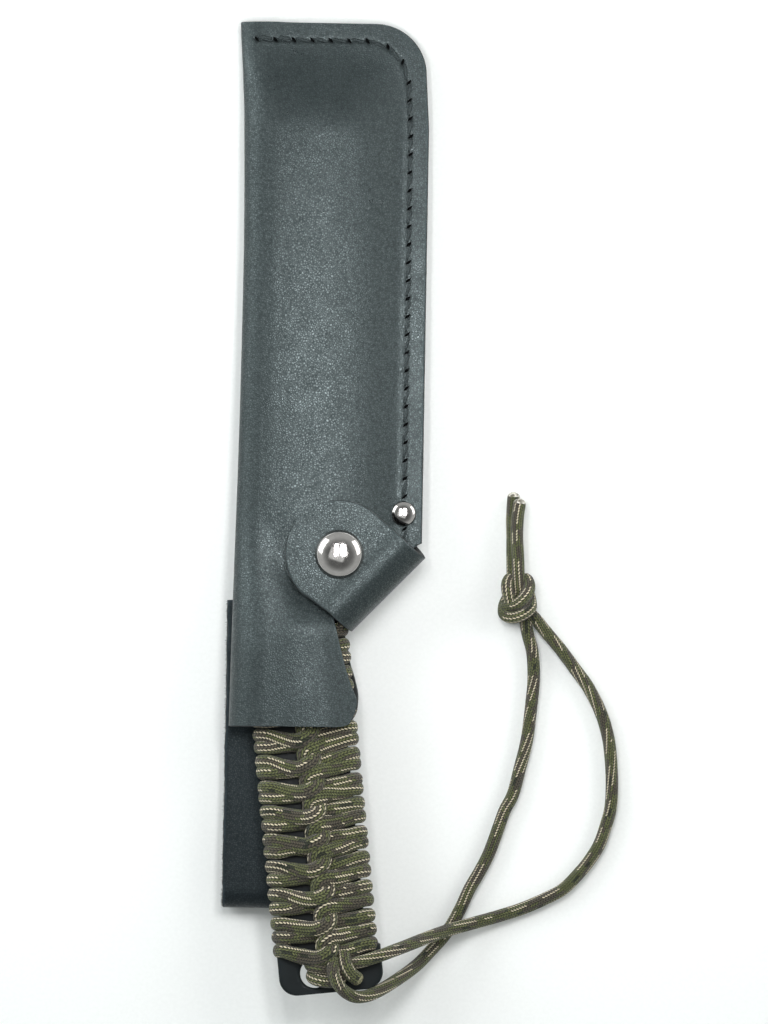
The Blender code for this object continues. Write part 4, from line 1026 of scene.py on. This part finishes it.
def seam_path(inset, corner, end_y, left_x, step):
    """Points along the seam, a fixed distance in from the edge, from the fold to end_y."""
    right, top = SEAM_X - inset, TIP_Y - inset
    lean = SEAM_TAPER * (TIP_Y - corner - SEAM_TAPER_Y)
    centre = (right - corner - lean, top - corner)
    path = []
    count = max(2, round((centre[0] - left_x) / step))
    path += [(left_x + (centre[0] - left_x) * k / count, top) for k in range(count)]
    count = max(3, round(corner * math.pi / 2 / step))
    for k in range(count):
        angle = math.pi / 2 * (1 - k / count)
        path.append((centre[0] + corner * math.cos(angle), centre[1] + corner * math.sin(angle)))
    count = max(2, round((centre[1] - end_y) / step))
    for k in range(count + 1):
        y = centre[1] + (end_y - centre[1]) * k / count
        path.append((right - SEAM_TAPER * max(0.0, y - SEAM_TAPER_Y), y))
    return np.array(path)


HOLES = seam_path(STITCH_INSET, STITCH_CORNER, SEAM_STOP_Y, SEAM_START_X, STITCH_PITCH)
LAST_HOLES = np.array([(SEAM_X - STITCH_INSET + 0.0002, y) for y in (-0.0052, -0.0100)])


def seam_dent(xy, flat):
    """How far the thread pulls the leather in, and the painted shade, near black, round its slanted
    holes.
    """
    line = seam_path(STITCH_INSET, STITCH_CORNER, SEAM_STOP_Y, SEAM_START_X, 0.0004)
    dent, dark = np.zeros(len(xy)), np.zeros(len(xy))
    slits, turns = [], []
    for row in (HOLES, LAST_HOLES):
        run = np.gradient(row, axis=0)
        run /= np.linalg.norm(run, axis=1, keepdims=True)
        slits.append(row)
        turns.append(run * math.cos(SLIT_SLANT) + run[:, ::-1] * (1, -1) * math.sin(SLIT_SLANT))
    slits, turns = np.vstack(slits), np.vstack(turns)
    close = np.where(flat)[0]
    for chunk in np.array_split(close, max(1, len(close) // 4000)):
        to_line = np.min(np.linalg.norm(xy[chunk, None] - line[None], axis=2), axis=1)
        away = xy[chunk, None] - slits[None]
        along = np.sum(away * turns[None], 2)
        across = away[:, :, 0] * turns[None, :, 1] - away[:, :, 1] * turns[None, :, 0]
        slit = np.max(np.exp(-(along / 0.0012) ** 4 - (across / 0.00050) ** 2), axis=1)
        dent[chunk] = 0.00016 * np.exp(-(to_line / 0.0006) ** 2) + 0.00030 * slit
        # painted shade: near-black colour round each slanted hole
        dark[chunk] = np.clip(slit * 1.5 - 0.1, 0, 1)
    return dent, dark


def sheath_rows():
    """Heights of the rows across the sheath, closer where its edge turns or the seam crosses."""
    fixed = [MOUTH_Y, FRONT_CUT[0][1], FRONT_CUT[0][1] + CUT_STEP, FRONT_CUT[1][1],
             BACK_CUT[0][1], BACK_CUT[0][1] + CUT_STEP, BACK_CUT[1][1], TIP_Y,
             APRON_EDGE[-1][0], BACK_EDGE[-1][0]]
    rows = list(np.arange(MOUTH_Y + 0.0001, MOUTH_Y + 0.0025, 0.00022))
    rows += list(np.arange(MOUTH_Y + 0.003, 0.1475, 0.0009))
    rows += list(np.arange(0.1478, TIP_Y, 0.0003))
    rows += [TIP_Y - 0.00012, TIP_Y - 0.00004]
    rows = [y for y in rows if min(abs(y - f) for f in fixed) > 0.0001]
    return sorted(rows + fixed)


def section(y):
    """Outer line of the folded leather across the sheath, from its back edge to its front."""
    left = float(smooth_value(FOLD_EDGE, y))
    crest = float(smooth_value(FOLD_CREST, y))
    radius = crest / 2
    back = mouth_corner(panel_edge(y, BACK_CUT, BACK_EDGE), y)
    front = mouth_corner(panel_edge(y, FRONT_CUT, APRON_EDGE), y)
    share = np.linspace(0, 1, 40) ** 0.9
    rows = [np.stack([back + (left + radius - back) * share, np.zeros(40)], 1)]
    angle = np.pi / 2 * np.arange(1, 11) / 11
    rows.append(np.stack([left + radius * (1 - np.sin(angle)), radius * (1 - np.cos(angle))], 1))
    start = left + FOLD_WIDTH
    angle = np.pi / 2 * np.arange(0, 28) / 28
    x = start - FOLD_WIDTH * np.cos(angle)
    height = front_height(x, y)
    rows.append(np.stack([x, radius + (height - radius) * np.sin(angle)], 1))
    share = np.concatenate([np.linspace(0, 0.62, 36)[:-1], np.linspace(0.62, 1.0, 36)])
    x = start + (front - start) * share
    rows.append(np.stack([x, front_height(x, y)], 1))
    return np.vstack(rows)


def inward(points, thickness):
    before = np.vstack([points[:1], points[:-1]])
    after = np.vstack([points[1:], points[-1:]])
    d = after - before
    d /= np.linalg.norm(d, axis=1, keepdims=True)
    return points + thickness * np.stack([d[:, 1], -d[:, 0]], 1)


def sheath_body():
    outer, inner = [], []
    for y in sheath_rows():
        line = section(y)
        within = inward(line, LEATHER)
        outer.append(np.column_stack([line[:, 0], np.full(len(line), y), line[:, 1]]))
        inner.append(np.column_stack([within[:, 0], np.full(len(line), y), within[:, 1]]))
    outer, inner = np.array(outer), np.array(inner)
    flat = outer.reshape(-1, 3)
    front = flat[:, 2] > 0.004
    back = flat[:, 2] < 0.0002
    # painted shade round the awl holes, front and back, goes to the leather as a near-black colour value
    sink, dark = seam_dent(flat[:, :2], front)
    rise, back_hole_shade = seam_dent(flat[:, :2], back)
    flat[:, 2] += rise - sink
    return shell("sheath_leather", flat.reshape(outer.shape), inner,
                 [LEATHER_SKIN, LEATHER_FLESH, LEATHER_CUT], hole_shade=dark + back_hole_shade)


sheath = sheath_body()
settle(sheath, "sheath", "leather", "sheath_body")


def welt():
    outer = seam_path(0.0004, TIP_CORNER, -0.0045, -0.0265, 0.0012)
    direction = np.gradient(outer, axis=0)
    direction /= np.linalg.norm(direction, axis=1, keepdims=True)
    normal = np.stack([direction[:, 1], -direction[:, 0]], 1)
    shares = np.linspace(0, 1, 8)
    low, high = LEATHER + GAP * 0.4, LEATHER + WELT + GAP * 1.6
    grid = outer[:, None] + normal[:, None] * (WELT_WIDTH * shares[None, :, None])
    top = np.concatenate([grid, np.full((*grid.shape[:2], 1), high)], 2)
    bottom = np.concatenate([grid, np.full((*grid.shape[:2], 1), low)], 2)
    return shell("welt_strip", top, bottom, [WELT_CUT] * 3, 0.0002)


strip = welt()
settle(strip, "sheath", "leather_edge", "sheath_welt")


def stitch(a, b, z, lift, slant, verts, faces):
    """One stitch of two-ply thread: it leaves one hole, lies slanted and sinks into the next."""
    a, b = np.array(a), np.array(b)
    run = b - a
    side = np.array([run[1], -run[0]]) / np.linalg.norm(run)
    rings, count = 25, 12
    for k in range(rings):
        share = k / (rings - 1)
        rise = math.sin(math.pi * share) ** 0.35
        lean = slant * math.sin(math.pi * (share - 0.5))
        centre = a + run * (0.11 + 0.78 * share) + side * lean
        height = z + lift * (rise * 1.5 - 1.0)
        for i in range(count):
            angle = 2 * math.pi * i / count
            ply = PLY_RADIUS * (1 + 0.24 * math.cos(2 * angle + 26 * share)) * (0.45 + 0.55 * rise)
            offset = side * math.cos(angle) * ply
            up = math.sin(angle) * ply * (0.75 if lift > 0 else -0.75)
            verts.append((centre[0] + offset[0], centre[1] + offset[1], height + up))
    start = len(verts) - rings * count
    for j in range(rings - 1):
        for i in range(count):
            n = (i + 1) % count
            faces.append((start + j * count + i, start + j * count + n,
                          start + (j + 1) * count + n, start + (j + 1) * count + i))
    faces.append(tuple(start + i for i in reversed(range(count))))
    faces.append(tuple(start + (rings - 1) * count + i for i in range(count)))


def seam_thread(name, z, lift):
    verts, faces = [], []
    pairs = [*zip(HOLES, HOLES[1:]), *zip(LAST_HOLES, LAST_HOLES[1:])]
    for a, b in pairs:
        stitch(a, b, z, lift, STITCH_SLANT, verts, faces)
    # the seam starts with a second pass over its first two stitches
    for a, b in list(zip(HOLES, HOLES[1:]))[:2]:
        stitch(a + (0.0006, 0.0006), b + (-0.0006, 0.0006), z, lift, 0.0002, verts, faces)
    return outward(mesh_piece(name, verts, faces, [THREAD]))


def awl_slit_shades(name, z):
    """Painted shade for the slanted holes that the thread goes through: near-black lenses laid on the
    leather over each hole.
    """
    verts, faces = [], []
    for row in (HOLES, LAST_HOLES):
        run = np.gradient(row, axis=0)
        run /= np.linalg.norm(run, axis=1, keepdims=True)
        for spot, ahead in zip(row, run):
            slant = ahead * math.cos(SLIT_SLANT) + ahead[::-1] * (1, -1) * math.sin(SLIT_SLANT)
            across = np.array([slant[1], -slant[0]])
            start = len(verts)
            verts += [(*spot, z + 0.00034), (*spot, z - 0.0004)]
            for i in range(SLIT_POINTS):
                turn = 2 * math.pi * i / SLIT_POINTS
                reach = slant * math.cos(turn) * SLIT_LENGTH
                reach = reach + across * math.sin(turn) ** 3 * SLIT_WIDTH
                verts.append((*(spot + reach), z))
            for i in range(SLIT_POINTS):
                a, b = start + 2 + i, start + 2 + (i + 1) % SLIT_POINTS
                faces += [(start, a, b), (start + 1, b, a)]
    return outward(mesh_piece(name, verts, faces, [SLIT_SHADE]))


# painted shade: near-black lenses over the seam's awl holes
front_slit_shades = awl_slit_shades("seam_slit_shades", SEAM_HEIGHT + 0.00012)
settle(front_slit_shades, "sheath", "thread")

front_thread = seam_thread("seam_thread_front", SEAM_HEIGHT + 0.0001, 0.00042)
settle(front_thread, "sheath", "thread", "seam_stitching", "seam_stitching_end")
back_thread = seam_thread("seam_thread_back", 0.00036, -0.00030)
settle(back_thread, "sheath", "thread")


# ---------------------------------------------------------------- strap

def flap_middle(u):
    past = u - SNAP_U
    if past > 0:
        return SNAP_F, math.sqrt(max(0.0, FLAP_END_RADIUS**2 - past**2))
    t = (u - BEND_RADIUS) / (SNAP_U - BEND_RADIUS)
    return STRAP_SKEW + (SNAP_F - STRAP_SKEW) * t, STRAP_HALF + (FLAP_END_RADIUS - STRAP_HALF) * t


def strap():
    """One strip of leather: from the back panel, round the knife's shoulder, to its round end."""
    radius = BEND_RADIUS - LEATHER / 2
    high, low = 2 * BEND_RADIUS - LEATHER / 2, FLAP_Z + LEATHER / 2
    line = [(BEND_RADIUS + 0.0004, LEATHER / 2, -STRAP_SKEW, STRAP_HALF)]
    for k in range(41):
        turn = math.pi * k / 40
        line.append((BEND_RADIUS - radius * math.sin(turn), BEND_RADIUS - radius * math.cos(turn),
                     -STRAP_SKEW * math.cos(turn), STRAP_HALF))
    for k in range(1, 15):
        u = BEND_RADIUS + (FLAP_DROP_U + 0.001 - BEND_RADIUS) * k / 14
        drop = float(ease(BEND_RADIUS, FLAP_DROP_U + 0.001, u))
        line.append((u, high + (low - high) * drop, *flap_middle(u)))
    for u in np.linspace(FLAP_DROP_U + 0.0015, SNAP_U, 12):
        line.append((u, low, *flap_middle(u)))
    for angle in np.linspace(2, 88.5, 46):
        u = SNAP_U + FLAP_END_RADIUS * math.sin(math.radians(angle))
        line.append((u, low, *flap_middle(u)))
    line = np.array(line)
    heading = np.gradient(line[:, :2], axis=0)
    heading /= np.linalg.norm(heading, axis=1, keepdims=True)
    normal = np.stack([-heading[:, 1], heading[:, 0]], 1)
    outer, inner = [], []
    for (u, z, middle, half), (nu, nz) in zip(line, normal):
        rows = [[], []]
        for share in np.linspace(-1, 1, 44):
            share = math.copysign(abs(share) ** 0.85, share)
            for side, row in ((1, rows[0]), (-1, rows[1])):
                x, y = strap_point(u + side * nu * LEATHER / 2, middle + half * share)
                row.append((x, y, z + side * nz * LEATHER / 2))
        outer.append(rows[0])
        inner.append(rows[1])
    return shell("strap_leather", np.array(outer), np.array(inner),
                 [LEATHER_SKIN, LEATHER_FLESH, LEATHER_CUT], 0.00025, 0.0010)


retainer = strap()
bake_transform(retainer)
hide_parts("strap_bend", "strap_flap")


# ---------------------------------------------------------------- belt loop

def belt_loop():
    top_z = -GAP * 0.5
    end_radius = (top_z - table_z(LOOP_END_Y)) / 2
    end_y = LOOP_END_Y + end_radius
    line = [(y, top_z) for y in np.linspace(LOOP_TOP_Y, end_y, 70)]
    for k in range(1, 24):
        angle = math.pi * k / 24
        line.append((end_y - end_radius * math.sin(angle), top_z - end_radius * (1 - math.cos(angle))))
    line += [(y, table_z(y)) for y in np.linspace(end_y, LOOP_DROP_Y, 44)]
    doubled = top_z - 2 * LOOP_LEATHER - GAP
    for k in range(1, 13):
        y = LOOP_DROP_Y + (LOOP_JOIN_Y - LOOP_DROP_Y) * k / 12
        rise = float(ease(LOOP_DROP_Y, LOOP_JOIN_Y, y))
        line.append((y, table_z(LOOP_DROP_Y) + (doubled - table_z(LOOP_DROP_Y)) * rise))
    line += [(y, doubled) for y in np.linspace(LOOP_JOIN_Y, LOOP_TOP_Y, 14)[1:]]
    line = np.array(line)
    within = inward(line, -LOOP_LEATHER)
    xs = np.linspace(LOOP_LEFT, LOOP_RIGHT, 30)
    rng = np.random.default_rng(3)
    ragged = np.convolve(rng.normal(0, 0.00022, len(line) + 6), np.ones(4) / 4, "same")[3:-3]
    grids = []
    for rows in (line, within):
        grid = np.zeros((len(rows), len(xs), 3))
        grid[:, :, 0] = xs[None]
        grid[:, 0, 0] += ragged
        grid[:, 1, 0] += ragged * 0.5
        grid[:, :, 1] = rows[:, :1]
        grid[:, :, 2] = rows[:, 1:]
        grids.append(grid)
    return shell("belt_loop_leather", grids[0], grids[1], [LOOP_SKIN, LEATHER_FLESH, LEATHER_CUT],
                 0.00025), line


loop, loop_line = belt_loop()
settle(loop, "sheath", "leather", "belt_loop")


def loop_fibres():
    """Loose fibres that stand out of the loop's raw left edge."""
    rng = np.random.default_rng(11)
    verts, faces = [], []
    inner = inward(loop_line, -LOOP_LEATHER)
    for _ in range(FIBRE_COUNT):
        k = int(rng.integers(0, len(loop_line) - 1))
        share = rng.random()
        root = loop_line[k] + (loop_line[k + 1] - loop_line[k]) * share
        root = root + (inner[k] - loop_line[k]) * rng.random()
        base = np.array([LOOP_LEFT - 0.00012, root[0], root[1]])
        reach = 0.00025 + 0.0007 * rng.random() ** 2
        away = np.array([-1.0, rng.normal(0, 0.7), rng.normal(0, 0.7)])
        away /= np.linalg.norm(away)
        bend = rng.normal(0, 0.00022, 3)
        radius = 0.000035 + 0.00003 * rng.random()
        start = len(verts)
        for t in (0.0, 0.5):
            centre = base + away * reach * t + bend * t * t
            for i in range(3):
                angle = 2 * math.pi * i / 3
                verts.append(tuple(centre + np.array([0, math.cos(angle), math.sin(angle)])
                                   * radius * (1 - 0.4 * t)))
        verts.append(tuple(base + away * reach + bend))
        for k in range(start, len(verts)):
            x, y, z = verts[k]
            verts[k] = (x, y, max(z, table_z(y) + 0.00002))
        for i in range(3):
            n = (i + 1) % 3
            faces.append((start + i, start + n, start + 3 + n, start + 3 + i))
            faces.append((start + 3 + i, start + 3 + n, start + 6))
    return mesh_piece("loop_edge_fibres", verts, faces, [LEATHER_CUT])


fibres = loop_fibres()
settle(fibres, "sheath", "leather")


# ---------------------------------------------------------------- fasteners

def dome(radius, foot, rise):
    rows = []
    for k in range(DOME_STEPS + 1):
        angle = math.pi / 2 * k / DOME_STEPS
        rows.append((radius * math.cos(angle) if k < DOME_STEPS else 0,
                     foot + rise * math.sin(angle)))
    return rows


def fasteners():
    made = []
    centre = strap_point(SNAP_U, SNAP_F)
    foot = FLAP_Z + LEATHER
    rim = SNAP_CAP_RADIUS
    cap = [(0, foot - 0.0002), (rim - 0.0012, foot - 0.0002), (rim - 0.0002, foot + 0.00005),
           (rim, foot + 0.0003), (rim - 0.00005, foot + 0.0007), (rim - 0.0003, foot + 0.0010),
           *dome(rim - 0.0004, foot + 0.00105, 0.00285)[1:]]
    made.append((lathe("snap_button", cap, centre, NICKEL, 96, 50), "strap", "snap_cap"))
    x, y = SEAM_RIVET
    low = SEAM_HEIGHT
    rim = RIVET_CAP_RADIUS
    cap = [(0, low), (rim - 0.0003, low), (rim, low + 0.0003), (rim - 0.00005, low + 0.0006),
           *dome(rim - 0.0002, low + 0.0008, 0.0013)[1:]]
    made.append((lathe("seam_rivet_head", cap, (x, y), NICKEL, 72, 50), "sheath", "seam_rivet_cap"))
    return made


for piece, body, node in fasteners():
    settle(piece, body, "nickel", node)


# ---------------------------------------------------------------- knife

def blade_half(y):
    t = np.clip((y - BLADE_TAPER_Y) / (BLADE_TIP_Y - BLADE_TAPER_Y), 0, 1)
    return BLADE_HALF * np.sqrt(np.maximum(0.0, 1 - t**2.2))


def knife_rows():
    """Left and right ends of each row across the knife, from its tip to its butt."""
    rows = []
    for y in (BLADE_TIP_Y - (BLADE_TIP_Y - 0.0965) * np.linspace(0.008, 1, 46) ** 1.6):
        half = float(blade_half(y))
        rows.append(((BLADE_CENTRE - half, y), (BLADE_CENTRE + half, y)))
    for y in np.arange(0.0960, -0.0075, -0.0005):
        half = float(blade_half(y))
        share = (TEETH_TO - y) % TOOTH_PITCH / TOOTH_PITCH
        toothed = TEETH_FROM < y < TEETH_TO
        tooth = math.sin(math.pi * share) ** 0.7 * TOOTH_DEPTH if toothed else 0.0
        rows.append(((BLADE_CENTRE - half + tooth, y), (BLADE_CENTRE + half, y)))
    for y in np.linspace(-0.010, SHOULDER_Y, 10):
        rows.append(((BLADE_CENTRE - BLADE_HALF, y), (BLADE_CENTRE + BLADE_HALF, y)))
    right = strap_point(0.0056, 0.0)
    slope = math.cos(STRAP_TURN) / math.sin(STRAP_TURN)
    tang_left = handle_point(-0.0340, -TANG_HALF)[0]
    for k in range(1, 16):
        y = SHOULDER_Y - 0.0145 * k / 15
        left_y = SHOULDER_Y - 0.0130 * k / 15
        settle = float(ease(-0.020, -0.040, left_y))
        x = min(BLADE_CENTRE + BLADE_HALF, right[0] - (y - right[1]) / slope)
        rows.append((((BLADE_CENTRE - BLADE_HALF) * (1 - settle) + tang_left * settle, left_y), (x, y)))
    for s in np.linspace(TANG_FROM_S, TANG_TO_S, 40):
        rows.append((handle_point(s, -TANG_HALF), handle_point(s, TANG_HALF)))
    for k in range(1, 8):
        share = float(ease(0, 7, k))
        s = TANG_TO_S + 0.0025 * k / 7
        out = TANG_HALF + (BUTT_HALF - TANG_HALF) * share
        rows.append((handle_point(s + 0.001 * share, -out + BUTT_CENTRE * share),
                     handle_point(s, out + BUTT_CENTRE * share)))
    for s in np.linspace(0.0710, BUTT_END - BUTT_CORNER, 8)[:-1]:
        rows.append((handle_point(s, BUTT_CENTRE - BUTT_HALF), handle_point(s, BUTT_CENTRE + BUTT_HALF)))
    for turn in np.radians(np.linspace(0, 88, 16)):
        s = BUTT_END - BUTT_CORNER * (1 - math.sin(turn))
        half = BUTT_HALF - BUTT_CORNER * (1 - math.cos(turn))
        rows.append((handle_point(s, BUTT_CENTRE - half), handle_point(s, BUTT_CENTRE + half)))
    return rows


def knife():
    shares = np.concatenate([[0, 0.012, 0.03, 0.06], np.linspace(0.095, 0.905, 24),
                             [0.94, 0.97, 0.988, 1.0]])
    top, bottom = [], []
    for left, right in knife_rows():
        left, right = np.array(left), np.array(right)
        points = left + (right - left) * shares[:, None]
        width = np.linalg.norm(right - left)
        x, y = points[:, 0], points[:, 1]
        across = (x - BLADE_CENTRE) / BLADE_HALF
        arch = ARCH_EDGE_Z + (ARCH_CROWN_Z - ARCH_EDGE_Z) * np.maximum(0, 1 - across * across)
        arch = arch - TIP_DROP * ease(0.096, BLADE_TIP_Y, y)
        middle = arch + (TANG_Z - arch) * ease(-0.022, -0.037, y)
        from_edge = width * np.minimum(shares, 1 - shares)
        share = np.minimum(1, from_edge / BEVEL_WIDTH)
        ground = EDGE_THICKNESS + (STEEL - EDGE_THICKNESS) * share
        half = (ground + (STEEL - ground) * ease(-0.024, -0.034, y)) / 2
        rounded = 0.00035 * (1 - np.clip(from_edge / 0.0007, 0, 1)) ** 2 * ease(-0.024, -0.034, y)
        top.append(np.column_stack([points, middle + half - rounded]))
        bottom.append(np.column_stack([points, middle - half + rounded]))
    obj = shell("knife_steel", np.array(top), np.array(bottom), [COATED] * 3, 0.00006)
    hole = handle_point(HOLE_S, HOLE_T)
    low, high = TANG_Z - STEEL / 2, TANG_Z + STEEL / 2
    flare = HOLE_RADIUS + 0.0022
    rows = [(0, low - 0.0016), (flare, low - 0.0016), (HOLE_RADIUS, low + 0.0006),
            (HOLE_RADIUS, high - 0.0006), (flare, high + 0.0016), (0, high + 0.0016)]
    cutter = lathe("hole_cutter", rows, hole, COATED, 64)
    modifier = obj.modifiers.new("hole", "BOOLEAN")
    modifier.operation = "DIFFERENCE"
    modifier.solver = "EXACT"
    modifier.object = cutter
    graph = bpy.context.evaluated_depsgraph_get()
    mesh = bpy.data.meshes.new_from_object(obj.evaluated_get(graph))
    obj.modifiers.clear()
    obj.data = mesh
    bpy.data.objects.remove(cutter, do_unlink=True)
    return obj


blade = knife()
settle(blade, "knife", "coated_steel", "blade_and_tang")


# ---------------------------------------------------------------- metal nodes kept from the CAD

for node in ("seam_rivet_post", "loop_rivet_cap_left", "loop_rivet_cap_right", "snap_stud",
             "loop_rivet_post_left", "loop_rivet_post_right", "snap_post", "snap_socket"):
    obj = frame["nodes"][node]
    obj.data.materials.clear()
    obj.data.materials.append(NICKEL)
